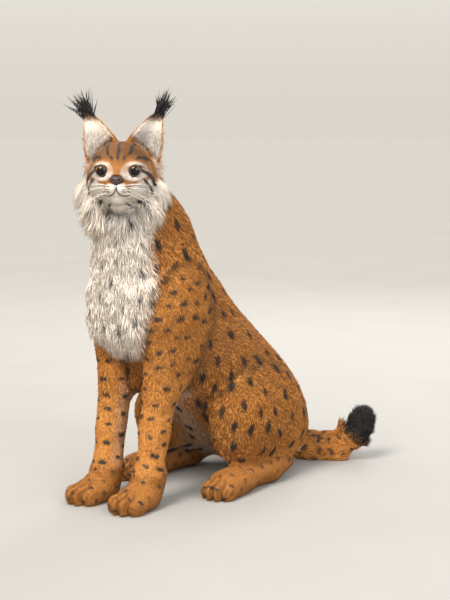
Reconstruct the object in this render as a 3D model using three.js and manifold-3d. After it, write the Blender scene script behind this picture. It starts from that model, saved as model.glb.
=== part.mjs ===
// A Eurasian lynx sitting upright, life-size, head turned to its left and tail curled out to that side.
// Millimetres, +Z up. The animal faces -Y and its left is +X. The floor is at z = 0.
// Flesh is a field of ovals that melt into one another; its skin is meshed, thinned and parted by cuts.
import * as THREE from "three";
import { mergeVertices } from "three/addons/utils/BufferGeometryUtils.js";
import Module from "manifold-3d";

const wasm = await Module();
wasm.setup();

// Driving sizes of the animal
const gap = 0.3; // kept between neighbouring parts
const withers = 575; // height of the shoulders above the floor while sitting
const halfTrunk = 112; // half the width across the ribs, coat included
const rumpY = 268; // how far back the rump sits
const pawY = -226; // how far forward the forepaws stand
const pawX = 60; // forepaws either side of the middle
const wristHeight = 72;
const elbowHeight = 305;
const hindFootX = 124;
const toeY = -84; // tips of the hind toes
const heelY = 168;
const headCentre = [12, -222, 672];
const headTurn = 38; // degrees to the animal's left
const headSize = 1.06; // scale of the head's own sizes below
const mouthRadius = 1.5; // half the width of the line between the lips
const eyeballRadius = 15;
const eyeX = 30;
const eyeY = -56;
const eyeZ = 13;
const earHeight = 94;
const earWidth = 66;
const earRoot = 16; // how deep the ear's foot is sunk in the head
const tuftLength = 52;
const tailRadius = 30;
const neckBase = 520; // the neck is parted from the trunk at this height

// How finely each skin is meshed, in millimetres, and how many faces it keeps
const skins = {
  body: { cell: 15, faces: 1520 },
  head: { cell: 5, faces: 1250 },
  ruff: { cell: 8, faces: 220 },
  bib: { cell: 13, faces: 300 },
  forepaw: { cell: 5, faces: 460 },
  hindFoot: { cell: 6, faces: 420 },
  tail: { cell: 9, faces: 260 },
};

const unposed = new THREE.Matrix4();

function radians(degrees) {
  return THREE.MathUtils.degToRad(degrees);
}

// Turns a geometry of three.js into a solid
function solidOf(geometry) {
  const bare = new THREE.BufferGeometry();
  bare.setAttribute("position", geometry.getAttribute("position"));
  if (geometry.index) bare.setIndex(geometry.index);
  const merged = mergeVertices(bare, 1e-4);
  const mesh = new wasm.Mesh({
    numProp: 3,
    vertProperties: new Float32Array(merged.getAttribute("position").array),
    triVerts: new Uint32Array(merged.index.array),
  });
  return new wasm.Manifold(mesh);
}

function geometryOf(solid) {
  const mesh = solid.getMesh();
  const geometry = new THREE.BufferGeometry();
  geometry.setAttribute("position", new THREE.BufferAttribute(mesh.vertProperties, 3));
  geometry.setIndex(new THREE.BufferAttribute(mesh.triVerts, 1));
  return geometry;
}

// A solid from points and faces, turned so that the faces look outwards
function facedSolid(points, faces) {
  let volume = 0;
  for (const [a, b, c] of faces) volume += points[a].dot(points[b].clone().cross(points[c]));
  const outward = volume < 0 ? faces.map((face) => face.toReversed()) : faces;
  const geometry = new THREE.BufferGeometry().setFromPoints(points);
  geometry.setIndex(outward.flat());
  return solidOf(geometry);
}

function joined(solids) {
  return solids.reduce((whole, solid) => whole.add(solid));
}

function largest(solid) {
  const scraps = solid.decompose();
  return scraps.reduce((best, scrap) => (scrap.volume() > best.volume() ? scrap : best));
}

function vector(list) {
  return new THREE.Vector3(...list);
}

function mirrored(list, side) {
  return [list[0] * side, ...list.slice(1)];
}

// How far q lies outside an oval of half sizes r, roughly in millimetres
function ovalDistance(x, y, z, rx, ry, rz) {
  const scaled = Math.hypot(x / rx, y / ry, z / rz);
  const slope = Math.hypot(x / (rx * rx), y / (ry * ry), z / (rz * rz));
  return slope < 1e-9 ? -Math.min(rx, ry, rz) : (scaled * (scaled - 1)) / slope;
}

// An oval lump, leaned about X, Y and Z by degrees
function lump(centre, radii, lean = [0, 0, 0]) {
  const turn = new THREE.Matrix4().makeRotationFromEuler(new THREE.Euler(...lean.map(radians)));
  const inverse = turn.setPosition(...centre).invert();
  const q = new THREE.Vector3();
  return (p) => {
    q.copy(p).applyMatrix4(inverse);
    return ovalDistance(q.x, q.y, q.z, ...radii);
  };
}

// A trunk or limb of oval sections. Each station is [x, y, z, half width across, half depth].
function limb(stations, melt = 12) {
  const pieces = [];
  for (let i = 1; i < stations.length; i++) {
    const start = vector(stations[i - 1].slice(0, 3));
    const along = vector(stations[i].slice(0, 3)).sub(start);
    const length = along.length();
    along.normalize();
    const across = new THREE.Vector3(1, 0, 0).addScaledVector(along, -along.x).normalize();
    const deep = new THREE.Vector3().crossVectors(along, across);
    pieces.push({ start, along, length, across, deep, from: stations[i - 1], to: stations[i] });
  }
  const q = new THREE.Vector3();
  return (p) => {
    let whole = Infinity;
    for (const piece of pieces) {
      q.copy(p).sub(piece.start);
      const t = THREE.MathUtils.clamp(q.dot(piece.along) / piece.length, 0, 1);
      const beyond = q.dot(piece.along) - t * piece.length;
      const wide = THREE.MathUtils.lerp(piece.from[3], piece.to[3], t);
      const thick = THREE.MathUtils.lerp(piece.from[4], piece.to[4], t);
      const end = Math.min(wide, thick);
      const distance = ovalDistance(q.dot(piece.across), q.dot(piece.deep), beyond, wide, thick, end);
      whole = melted(whole, distance, melt);
    }
    return whole;
  };
}

// Two distances as one, rounded where they meet over a width of `soft`
function melted(a, b, soft) {
  const share = Math.max(soft - Math.abs(a - b), 0) / soft;
  return Math.min(a, b) - (share * share * soft) / 4;
}

function blend(soft, ...fields) {
  return (p) => fields.reduce((whole, field) => melted(whole, field(p), soft), Infinity);
}

function bothSides(make) {
  return [1, -1].map(make);
}

// The field's slope at a point
function slopeAt(field, p) {
  const step = 0.4;
  const probe = new THREE.Vector3();
  const along = (x, y, z) =>
    field(probe.set(p.x + x, p.y + y, p.z + z)) - field(probe.set(p.x - x, p.y - y, p.z - z));
  return new THREE.Vector3(along(step, 0, 0), along(0, step, 0), along(0, 0, step)).divideScalar(2 * step);
}

function settle(field, p, rounds = 2) {
  for (let round = 0; round < rounds; round++) {
    const slope = slopeAt(field, p);
    p.addScaledVector(slope, -field(p) / Math.max(slope.lengthSq(), 0.04));
  }
  return p;
}

// Meshes the surface where the field is nil: a vertex in each cell it crosses, a quad round each crossed edge
function netOf(field, low, high, cell) {
  const count = low.map((v, i) => Math.ceil((high[i] - v) / cell) + 1);
  const place = (i, j, k) => new THREE.Vector3(low[0] + i * cell, low[1] + j * cell, low[2] + k * cell);
  const at = (i, j, k) => (k * count[1] + j) * count[0] + i;
  const values = new Float64Array(count[0] * count[1] * count[2]);
  for (let k = 0; k < count[2]; k++)
    for (let j = 0; j < count[1]; j++)
      for (let i = 0; i < count[0]; i++) values[at(i, j, k)] = field(place(i, j, k)) + 1e-6;
  const corners = [0, 1, 2, 3, 4, 5, 6, 7].map((n) => [n & 1, (n >> 1) & 1, (n >> 2) & 1]);
  const points = [];
  const vertexOf = new Map();
  for (let k = 0; k < count[2] - 1; k++)
    for (let j = 0; j < count[1] - 1; j++)
      for (let i = 0; i < count[0] - 1; i++) {
        const inside = corners.map(([a, b, c]) => values[at(i + a, j + b, k + c)]);
        if (inside.every((v) => v > 0) || inside.every((v) => v <= 0)) continue;
        const middle = new THREE.Vector3();
        let crossings = 0;
        for (let n = 0; n < 8; n++)
          for (const bit of [1, 2, 4]) {
            const m = n | bit;
            if (m === n || inside[n] > 0 === inside[m] > 0) continue;
            const share = inside[n] / (inside[n] - inside[m]);
            const start = place(...corners[n].map((c, axis) => c + [i, j, k][axis]));
            const end = place(...corners[m].map((c, axis) => c + [i, j, k][axis]));
            middle.add(start.lerp(end, share));
            crossings++;
          }
        vertexOf.set(at(i, j, k), points.length);
        points.push(settle(field, middle.divideScalar(crossings)));
      }
  const faces = [];
  const axes = [[1, 0, 0], [0, 1, 0], [0, 0, 1]];
  for (let k = 1; k < count[2] - 1; k++)
    for (let j = 1; j < count[1] - 1; j++)
      for (let i = 1; i < count[0] - 1; i++)
        axes.forEach(([a, b, c], axis) => {
          const here = values[at(i, j, k)] > 0;
          if (here === values[at(i + a, j + b, k + c)] > 0) return;
          const [u, v] = [axes[(axis + 1) % 3], axes[(axis + 2) % 3]];
          const ring = [[0, 0], [1, 0], [1, 1], [0, 1]].map(([s, t]) =>
            vertexOf.get(at(i - s * u[0] - t * v[0], j - s * u[1] - t * v[1], k - s * u[2] - t * v[2])),
          );
          if (here) ring.reverse();
          faces.push([ring[0], ring[1], ring[2]], [ring[0], ring[2], ring[3]]);
        });
  return { points, faces, field };
}

// Thins a closed skin to a number of faces, merging the edges that change its shape least
function thinned({ points, faces, field }, wanted) {
  const edgeKey = (a, b) => (a < b ? a * 1e6 + b : b * 1e6 + a);
  let kept = faces;
  // for each vertex, the ten terms that give its squared distance to the planes of its faces
  const quadric = points.map(() => new Float64Array(10));
  const plane = (face) => {
    const [a, b, c] = face.map((v) => points[v]);
    const normal = b.clone().sub(a).cross(c.clone().sub(a));
    const area = normal.length();
    normal.divideScalar(area || 1);
    return { normal, area, offset: -normal.dot(a) };
  };
  for (const face of kept) {
    const { normal, area, offset } = plane(face);
    const plane4 = [...normal, offset];
    const terms = plane4.flatMap((first, i) => plane4.slice(i).map((second) => first * second));
    for (const v of face) terms.forEach((term, i) => (quadric[v][i] += term * area));
  }
  const error = (a, b, { x, y, z }) => {
    const q = quadric[a].map((term, i) => term + quadric[b][i]);
    return (
      q[0] * x * x + 2 * q[1] * x * y + 2 * q[2] * x * z + 2 * q[3] * x + q[4] * y * y +
      2 * q[5] * y * z + 2 * q[6] * y + q[7] * z * z + 2 * q[8] * z + q[9]
    );
  };
  while (kept.length > wanted) {
    const facesAt = points.map(() => []);
    kept.forEach((face, i) => face.forEach((v) => facesAt[v].push(i)));
    const seen = new Set();
    const edges = [];
    for (const face of kept)
      for (let i = 0; i < 3; i++) {
        const [a, b] = [face[i], face[(i + 1) % 3]];
        if (seen.has(edgeKey(a, b))) continue;
        seen.add(edgeKey(a, b));
        const middle = points[a].clone().lerp(points[b], 0.5);
        const length = points[a].distanceToSquared(points[b]);
        edges.push({ a, b, middle, cost: error(a, b, middle) + 1e-4 * length * length });
      }
    edges.sort((one, other) => one.cost - other.cost);
    const locked = new Set();
    const moved = new Map();
    let left = kept.length;
    for (const { a, b, middle } of edges.slice(0, Math.ceil(edges.length * 0.3))) {
      if (left <= wanted) break;
      if (locked.has(a) || locked.has(b)) continue;
      const around = (v) => new Set(facesAt[v].flatMap((i) => kept[i]));
      const [nearA, nearB] = [around(a), around(b)];
      const shared = [...nearA].filter((v) => nearB.has(v) && v !== a && v !== b);
      if (shared.length !== 2 || nearA.size + nearB.size > 15) continue;
      const between = (i) => kept[i].includes(a) && kept[i].includes(b);
      const touched = [...facesAt[a], ...facesAt[b]].filter((i) => !between(i));
      const flips = touched.some((i) => {
        const before = plane(kept[i]).normal;
        const [p, q, r] = kept[i].map((v) => (v === a || v === b ? middle : points[v]));
        const after = q.clone().sub(p).cross(r.clone().sub(p)).normalize();
        return before.dot(after) < 0.5;
      });
      if (flips) continue;
      points[a] = settle(field, middle, 1);
      quadric[a] = quadric[a].map((term, i) => term + quadric[b][i]);
      moved.set(b, a);
      left -= 2;
      for (const v of [...nearA, ...nearB]) locked.add(v);
    }
    if (!moved.size) break;
    kept = kept.map((face) => face.map((v) => moved.get(v) ?? v));
    kept = kept.filter(([a, b, c]) => a !== b && b !== c && a !== c);
  }
  return { points, faces: kept, field };
}

// The solid of a skin, let out by `grow` along its normals, and posed
function skinSolid({ points, faces, field }, { grow = 0, pose = unposed, mirror = false } = {}) {
  const used = [...new Set(faces.flat())];
  const order = new Map(used.map((v, i) => [v, i]));
  const placed = used.map((v) => {
    const p = points[v].clone();
    if (grow) p.addScaledVector(slopeAt(field, p).normalize(), grow);
    if (mirror) p.x = -p.x;
    return p.applyMatrix4(pose);
  });
  return facedSolid(placed, faces.map((face) => face.map((v) => order.get(v))));
}

// The trunk slopes from the withers down to the rump; the neck carries on up into the head
function trunkField() {
  return limb(
    [
      [0, -118, withers - 70, halfTrunk * 0.8, 92],
      [0, -104, withers - 160, halfTrunk * 0.95, 122],
      [0, -40, withers - 245, halfTrunk * 1.0, 128],
      [0, 60, 246, halfTrunk * 1.06, 124],
      [0, 150, 170, halfTrunk * 1.13, 122],
      [0, rumpY - 42, 110, halfTrunk * 1.04, 104],
      [0, rumpY - 4, 84, halfTrunk * 0.8, 80],
    ],
    60,
  );
}

function neckField() {
  const [x, y, z] = headCentre;
  return limb(
    [
      [0, -132, withers - 95, 96, 108],
      [x * 0.3, y + 78, withers - 14, 78, 90],
      [x, y + 46, z - 26, 52, 60],
    ],
    40,
  );
}

function forelegField(side) {
  return limb(
    [
      [side * 74, -112, withers - 92, 30, 48],
      [side * 80, -140, withers - 160, 38, 70],
      [side * 80, -160, elbowHeight + 70, 38, 62],
      [side * 70, -156, elbowHeight, 36, 50],
      [side * 64, -166, elbowHeight - 70, 34, 42],
      [side * 61, -186, 150, 31, 34],
      [side * pawX, pawY + 28, wristHeight, 30, 32],
      [side * pawX, pawY + 20, 40, 33, 36],
    ],
    24,
  );
}

function thighField(side) {
  return blend(
    40,
    lump(mirrored([100, 108, 152], side), [62, 122, 118], [22, 0, 0]),
    lump(mirrored([112, 22, 138], side), [50, 74, 84], [20, 0, side * -4]),
    lump(mirrored([104, 176, 96], side), [44, 62, 78], [-10, 0, 0]),
  );
}

const bodyField = blend(34, trunkField(), neckField(), ...bothSides(forelegField), ...bothSides(thighField));

// A broad paw with four toes, heel at +Y; `reach` is its whole length
function pawField({ reach, width }) {
  const toes = [-1, -0.34, 0.34, 1].map((across) => {
    const forward = reach * (0.47 - 0.13 * across * across);
    const middle = [across * width * 0.34, -forward, 17];
    return lump(middle, [width * 0.13, reach * 0.23, 19], [-10, 0, -10 * across]);
  });
  const palm = blend(
    16,
    lump([0, reach * 0.08, 22], [width * 0.44, reach * 0.42, 30]),
    lump([0, -reach * 0.12, 24], [width * 0.43, reach * 0.3, 24]),
  );
  return blend(4, palm, ...toes);
}

function posed(field, centre, turn) {
  const inverse = new THREE.Matrix4().makeRotationZ(radians(turn)).setPosition(...centre).invert();
  const q = new THREE.Vector3();
  return (p) => field(q.copy(p).applyMatrix4(inverse));
}

const forepawWhole = blend(
  14,
  forelegField(1),
  posed(pawField({ reach: 104, width: 88 }), [pawX, pawY - 8, -1], 4),
);
const forepawField = (p) => Math.max(forepawWhole(p), p.z - wristHeight - 20);

// The hind foot lies flat from heel to toes
const hindFootField = blend(
  16,
  limb(
    [
      [hindFootX - 12, heelY + 2, 46, 32, 36],
      [hindFootX - 8, heelY - 50, 34, 33, 32],
      [hindFootX - 2, toeY + 96, 27, 36, 27],
      [hindFootX + 2, toeY + 52, 24, 38, 25],
    ],
    20,
  ),
  posed(pawField({ reach: 100, width: 84 }), [hindFootX + 4, toeY + 52, 0], 7),
);

// Everything on the head is built facing -Y about the middle of the skull, then posed
const headPose = new THREE.Matrix4()
  .makeTranslation(...headCentre)
  .multiply(new THREE.Matrix4().makeRotationZ(radians(headTurn)))
  .multiply(new THREE.Matrix4().makeScale(headSize, headSize, headSize));

function headField() {
  const cranium = blend(
    26,
    lump([0, 10, 6], [57, 66, 56]),
    lump([0, -22, 22], [46, 40, 36]),
    ...bothSides((side) => lump(mirrored([35, -14, -16], side), [27, 42, 32])),
  );
  const muzzle = blend(
    10,
    limb([[0, -30, -12, 38, 38], [0, -62, -16, 28, 28], [0, -86, -19, 21, 20]], 10),
    limb([[0, -40, 31, 20, 18], [0, -72, 13, 14, 14], [0, -94, 1, 11, 11]], 10),
  );
  const whiskerPads = bothSides((side) => lump(mirrored([13, -91, -20], side), [15.5, 19, 13]));
  const jaw = limb([[0, -10, -38, 34, 24], [0, -50, -40, 24, 17], [0, -85, -38, 14, 11]], 10);
  const brows = bothSides((side) => lump(mirrored([28, -46, 27], side), [18, 16, 9], [0, side * 12, 0]));
  const lids = bothSides((side) => lump(eyeCentre(side), [19, 18, 18]));
  const face = blend(6, blend(28, cranium, muzzle), ...whiskerPads);
  return blend(6, blend(5, face, jaw), ...brows, ...lids);
}

function eyeCentre(side) {
  return mirrored([eyeX, eyeY, eyeZ], side);
}

function ball(centre, radii, { lean = [0, 0, 0], detail = 16, pose = headPose } = {}) {
  const geometry = new THREE.SphereGeometry(1, detail, Math.round(detail * 0.6));
  geometry.scale(...radii);
  const turn = new THREE.Matrix4().makeRotationFromEuler(new THREE.Euler(...lean.map(radians)));
  geometry.applyMatrix4(turn.setPosition(...centre)).applyMatrix4(pose);
  return solidOf(geometry);
}

function eyeball(side, grow = 0) {
  const radius = eyeballRadius + grow;
  return ball(eyeCentre(side), [radius, radius, radius], { detail: 12 });
}

// The slanted almond between the lids, cut from in front down to the eyeball
function lidOpening(side) {
  const almond = new THREE.Shape();
  almond.moveTo(-13.5, -5);
  almond.quadraticCurveTo(-5, 21, 13, 4);
  almond.quadraticCurveTo(5, -18, -13.5, -5);
  const prism = new THREE.ExtrudeGeometry(almond, { depth: 40, bevelEnabled: false, curveSegments: 5 });
  prism.rotateX(Math.PI / 2);
  prism.scale(side, 1, 1);
  prism.rotateZ(radians(side * 10));
  prism.translate(...eyeCentre(side));
  const points = [];
  const position = prism.getAttribute("position");
  for (let i = 0; i < position.count; i++) {
    points.push(new THREE.Vector3().fromBufferAttribute(position, i).applyMatrix4(headPose));
  }
  const faces = [];
  for (let i = 0; i < points.length; i += 3) faces.push([i, i + 1, i + 2]);
  return facedSolid(points, faces);
}

const noseCentre = [0, -101, -3];

function nose(grow = 0) {
  const radii = [12.5 + grow, 8.5 + grow, 8.5 + grow];
  return ball(noseCentre, radii, { lean: [-14, 0, 0], detail: 9 });
}

function nostril(side) {
  const [, y, z] = noseCentre;
  return ball(mirrored([6.5, y - 7, z - 1], side), [2.2, 4, 2.6], { lean: [0, 0, side * 30], detail: 8 });
}

// A thin groove under the nose and back along each side of the muzzle to the corner of the mouth
function mouthLine(field, side) {
  const middle = [[0, -108, -14], [0, -108, -25], [8, -106, -33]];
  const corner = [[18, -94, -35], [23, -78, -34], [25, -64, -30]];
  const stops = [...middle, ...corner].map((stop) => settle(field, vector(mirrored(stop, side)), 4));
  const path = new THREE.CatmullRomCurve3(stops);
  const corners = [[1, 0], [0, 1], [-1, 0], [0, -1]].map(([x, y]) => new THREE.Vector2(x, y));
  const section = new THREE.Shape(corners.map((corner) => corner.multiplyScalar(mouthRadius)));
  const tube = new THREE.ExtrudeGeometry(section, { steps: 9, extrudePath: path, bevelEnabled: false });
  return solidOf(tube.applyMatrix4(headPose));
}

function earPose(side) {
  return headPose
    .clone()
    .multiply(new THREE.Matrix4().makeTranslation(side * 41, 8, 52))
    .multiply(new THREE.Matrix4().makeRotationZ(radians(side * 20)))
    .multiply(new THREE.Matrix4().makeRotationY(radians(side * 26)));
}

// The ear is a leaf curled into a cup, open to the front
function ear(side, grow = 0) {
  const across = 8;
  const up = 6;
  const front = [];
  const back = [];
  for (let j = 0; j <= up; j++) {
    const v = j / up;
    const half = (earWidth / 2) * (1 - v ** 1.7) ** 0.85 + 2.5;
    const curl = radians(THREE.MathUtils.lerp(92, 52, v));
    const radius = half / Math.sin(curl);
    for (let i = 0; i <= across; i++) {
      const angle = ((2 * i) / across - 1) * (curl + grow / radius);
      const outward = new THREE.Vector3(Math.sin(angle), Math.cos(angle), 0);
      const wall = 1.8 + 2 * (1 - v) * Math.max(Math.cos(angle), 0) + grow;
      const forward = -0.8 * radius * Math.cos(curl) + 7 * v * v;
      const slump = 1 - 0.1 * (1 - v) * Math.sin(angle) ** 2; // the edges stand a little lower than the back
      const height = (earHeight + 2 * grow) * v * slump - earRoot - grow;
      const rise = new THREE.Vector3(0, forward, height);
      front.push(outward.clone().multiplyScalar(radius - wall).add(rise));
      back.push(outward.clone().multiplyScalar(radius + wall).add(rise));
    }
  }
  const row = across + 1;
  const points = [...front, ...back];
  const behind = front.length;
  const faces = [];
  const quad = (a, b, c, d) => faces.push([a, b, c], [a, c, d]);
  for (let j = 0; j < up; j++) {
    for (let i = 0; i < across; i++) {
      const a = j * row + i;
      quad(a, a + 1, a + row + 1, a + row);
      faces.push([behind + a, behind + a + row + 1, behind + a + 1]);
      faces.push([behind + a, behind + a + row, behind + a + row + 1]);
    }
    const left = j * row;
    const right = left + across;
    quad(left, left + row, behind + left + row, behind + left);
    quad(right + row, right, behind + right, behind + right + row);
  }
  const top = up * row;
  for (let i = 0; i < across; i++) {
    quad(i + 1, i, behind + i, behind + i + 1);
    quad(top + i, top + i + 1, behind + top + i + 1, behind + top + i);
  }
  points.forEach((p) => p.applyMatrix4(earPose(side)));
  return facedSolid(points, faces);
}

// One lock of hair: flat, tapered, bent along its lie, with its root sunk in what it grows from
function lock({ root, out, lie, length, width, thick, lift = 0.3, sink = 8, pose = unposed, grow = 0 }) {
  const normal = out.clone().normalize();
  const along = lie.clone().addScaledVector(normal, -lie.dot(normal)).normalize();
  const start = root.clone().addScaledVector(normal, -sink);
  const bend = root.clone().addScaledVector(along, length * 0.4).addScaledVector(normal, length * lift);
  const tip = root.clone().addScaledVector(along, length + 3 * grow);
  tip.addScaledVector(normal, length * lift * 0.6);
  const curve = new THREE.QuadraticBezierCurve3(start, bend, tip);
  const points = [];
  for (const [t, share] of [[0, 0.7], [0.42, 1], [0.76, 0.6]]) {
    const centre = curve.getPoint(t);
    const forward = curve.getTangent(t);
    const across = new THREE.Vector3().crossVectors(forward, normal).normalize();
    const up = new THREE.Vector3().crossVectors(across, forward);
    const half = (width / 2) * share + 1.5 * grow;
    const deep = (thick / 2) * share + 1.5 * grow;
    points.push(centre.clone().addScaledVector(across, half), centre.clone().addScaledVector(up, deep));
    points.push(centre.clone().addScaledVector(across, -half), centre.clone().addScaledVector(up, -deep));
  }
  points.push(tip);
  const faces = [[0, 1, 2], [0, 2, 3]];
  for (let i = 0; i < 4; i++) {
    const next = (i + 1) % 4;
    for (const ring of [0, 4]) {
      faces.push([ring + i, ring + 4 + i, ring + 4 + next], [ring + i, ring + 4 + next, ring + next]);
    }
    faces.push([8 + i, 12, 8 + next]);
  }
  points.forEach((p) => p.applyMatrix4(pose));
  return facedSolid(points, faces);
}

function seeded(seed) {
  let state = seed;
  return () => {
    state = (state * 16807) % 2147483647;
    return state / 2147483647;
  };
}

function evenly(count, make) {
  return Array.from({ length: count }, (_, i) => make(i / (count - 1)));
}

// Locks in rows: each place is drawn onto the field's surface, and its lock follows the lie there
function locksOn(field, rows, { seed, side = 1, pose, grow = 0 }) {
  const random = seeded(seed);
  const locks = [];
  for (const { places, lie, length, ...shape } of rows) {
    for (const place of places) {
      const root = settle(field, vector(place), 5);
      const out = slopeAt(field, root);
      const stray = new THREE.Vector3(random() - 0.5, random() - 0.5, 0).multiplyScalar(0.3);
      const drift = vector(lie).add(stray);
      for (const direction of [root, out, drift]) direction.x *= side;
      const own = length * (0.85 + 0.3 * random());
      locks.push(lock({ root, out, lie: drift, length: own, pose, grow, ...shape }));
    }
  }
  return joined(locks);
}

// The black tuft on the ear's tip: a few long locks that fan and sweep outwards
function earTuft(side) {
  const random = seeded(71 + side);
  const locks = [-2, -1, 0, 1, 2].map((step) =>
    lock({
      root: new THREE.Vector3(step * 1.6, 7 - Math.abs(step), earHeight - earRoot - 12),
      out: new THREE.Vector3(step * 0.2, 1, 0),
      lie: new THREE.Vector3(side * (0.3 + 0.05 * Math.abs(step)) + step * 0.06, 0, 1),
      length: (tuftLength + 12) * (1 - 0.12 * Math.abs(step) - 0.08 * random()),
      width: 12,
      thick: 7,
      lift: 0.06 + 0.06 * Math.abs(step),
      sink: 1,
      pose: earPose(side),
    }),
  );
  return joined(locks);
}

// The core of the cheek ruff, behind the cheek and down to a point below the jaw
const ruffField = limb(
  [
    [48, 14, 16, 14, 22],
    [52, 4, -20, 21, 31],
    [45, -8, -46, 20, 28],
    [43, -14, -68, 9, 12],
  ],
  18,
);

function ruffLocks(side, grow = 0) {
  const rows = [
    { height: 14, from: 24, to: -4, count: 3, length: 44, lift: 0.34 },
    { height: -6, from: 32, to: -24, count: 4, length: 52, lift: 0.34 },
    { height: -26, from: 32, to: -32, count: 5, length: 56, lift: 0.3 },
    { height: -44, from: 22, to: -36, count: 5, length: 58, lift: 0.24 },
    { height: -60, from: 8, to: -34, count: 4, length: 54, lift: 0.18 },
    { height: -70, from: -4, to: -24, count: 2, length: 46, lift: 0.12 },
  ].map(({ height, from, to, count, length, lift }) => ({
    places: evenly(count, (share) => [104, THREE.MathUtils.lerp(from, to, share), height]),
    lie: [0, 0.2, -1],
    length,
    width: 25,
    thick: 9,
    lift,
  }));
  return locksOn(ruffField, rows, { seed: 11 + side, side, pose: headPose, grow });
}

// The core of the bib, a layer over the chest from the throat down to between the forelegs
const bibDepth = 11;
const bibRegion = lump([0, -262, 462], [94, 118, 158]);
const bibField = (p) => Math.max(bodyField(p) - bibDepth, bibRegion(p));

function bibLocks() {
  const rows = [
    { height: 590, spread: 52, count: 4 },
    { height: 552, spread: 58, count: 5 },
    { height: 514, spread: 62, count: 6 },
    { height: 474, spread: 62, count: 6 },
    { height: 434, spread: 58, count: 6 },
    { height: 394, spread: 50, count: 5 },
    { height: 354, spread: 32, count: 4 },
  ].map(({ height, spread, count }, row) => ({
    places: Array.from({ length: count }, (_, i) => {
      const angle = radians(spread * ((2 * (i + (row % 2 ? 0.2 : -0.2))) / (count - 1) - 1));
      return [140 * Math.sin(angle), -172 - 140 * Math.cos(angle), height];
    }),
    lie: [0, 0, -1],
    length: 70,
    width: 37,
    thick: 11,
    lift: 0.24,
  }));
  return locksOn(bibField, rows, { seed: 5 });
}

// The tail leaves the rump low down, runs along the floor and curls up behind
const tailField = limb(
  [
    [0, rumpY + 4, 82, tailRadius * 1.15, tailRadius * 1.15],
    [20, rumpY + 48, 48, tailRadius * 1.05, tailRadius * 1.05],
    [62, rumpY + 88, 32, tailRadius, tailRadius],
    [112, rumpY + 120, 34, tailRadius, tailRadius],
    [150, rumpY + 140, 66, tailRadius, tailRadius],
    [162, rumpY + 145, 94, tailRadius * 0.7, tailRadius * 0.7],
  ],
  30,
);

// Black locks round the end of the tail, and a brush of them past its tip
function tailLocks() {
  const rows = [
    { centre: [150, rumpY + 140, 66], count: 7, length: 46, lift: 0.16 },
    { centre: [159, rumpY + 144, 88], count: 6, length: 44, lift: 0.12 },
    { centre: [166, rumpY + 147, 104], count: 4, length: 34, lift: 0.1 },
  ].map(({ centre: [x, y, z], count, length, lift }, row) => ({
    places: Array.from({ length: count }, (_, i) => {
      const angle = (2 * Math.PI * (i + row * 0.5)) / count;
      const reach = row < 2 ? 44 : 10;
      return [x + reach * Math.cos(angle), y + reach * Math.sin(angle), z - reach * 0.43 * Math.cos(angle)];
    }),
    lie: [0.4, 0.17, 0.9],
    length,
    width: 20,
    thick: 9,
    lift,
  }));
  return locksOn(tailField, rows, { seed: 23 });
}

// Boxes and outlines that part the body
function slab(low, high) {
  const size = high.map((v, i) => v - low[i]);
  const middle = high.map((v, i) => (v + low[i]) / 2);
  return solidOf(new THREE.BoxGeometry(...size).translate(...middle));
}

// An outline in the side view, [y, z] points, pushed from x = near to x = far on one side
function sideCut(outline, near, far, side, grow = 0) {
  const curve = new THREE.SplineCurve([...outline, outline[0]].map(([y, z]) => new THREE.Vector2(y, z)));
  const shape = new THREE.Shape(curve.getPoints(outline.length * 3).slice(0, -1));
  const prism = new THREE.ExtrudeGeometry(shape, { depth: far - near + grow, bevelEnabled: false });
  const middle = [0, 1].map((axis) => outline.reduce((sum, point) => sum + point[axis], 0) / outline.length);
  const points = [];
  const position = prism.getAttribute("position");
  for (let i = 0; i < position.count; i++) {
    const [y, z] = [position.getX(i), position.getY(i)];
    const away = Math.hypot(y - middle[0], z - middle[1]);
    const out = 1 + grow / away;
    const spread = [middle[0] + (y - middle[0]) * out, middle[1] + (z - middle[1]) * out];
    points.push(new THREE.Vector3(side * (near - grow + position.getZ(i)), ...spread));
  }
  const faces = [];
  for (let i = 0; i < points.length; i += 3) faces.push([i, i + 1, i + 2]);
  return facedSolid(points, faces);
}

// Colours and finishes, from the coat in the picture and the species
const finishes = {
  coat: { color: 0xab7139, roughness: 0.85 },
  pale: { color: 0xe9dccb, roughness: 0.9 },
  dark: { color: 0x2b2623, roughness: 0.85 },
  nose: { color: 0x6b4038, roughness: 0.5 },
  eye: { color: 0xb08a3c, roughness: 0.1 },
};
const materials = {};
for (const [name, look] of Object.entries(finishes)) {
  materials[name] = new THREE.MeshStandardMaterial({ metalness: 0, ...look });
}

const lynx = new THREE.Group();

function addPart(name, solid, finish) {
  const mesh = new THREE.Mesh(geometryOf(largest(solid)), materials[finish]);
  mesh.name = name;
  lynx.add(mesh);
}

function skin(field, low, high, { cell, faces }) {
  return thinned(netOf(field, low, high, cell), faces);
}

const skinOf = {
  body: skin(bodyField, [-220, -380, -30], [220, 400, 760], skins.body),
  head: skin(headField(), [-90, -135, -90], [90, 100, 90], skins.head),
  ruff: skin(ruffField, [0, -70, -130], [120, 80, 60], skins.ruff),
  bib: skin(bibField, [-120, -330, 280], [120, -120, 650], skins.bib),
  forepaw: skin(forepawField, [0, -335, -30], [125, -110, 130], skins.forepaw),
  hindFoot: skin(hindFootField, [60, -120, -30], [190, 240, 110], skins.hindFoot),
  tail: skin(tailField, [-60, 200, -30], [230, 470, 170], skins.tail),
};

const body = skinSolid(skinOf.body);
const bodyGrown = skinSolid(skinOf.body, { grow: gap });
const headGrown = skinSolid(skinOf.head, { pose: headPose, grow: gap });
const floor = slab([-600, -600, -200], [600, 600, 0]);
const aboveNeck = (shift) => slab([-300, -500, neckBase + shift], [300, 300, 900]);
const aboveWrist = (shift) => slab([-300, -500, wristHeight + shift], [300, 0, 900]);

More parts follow.
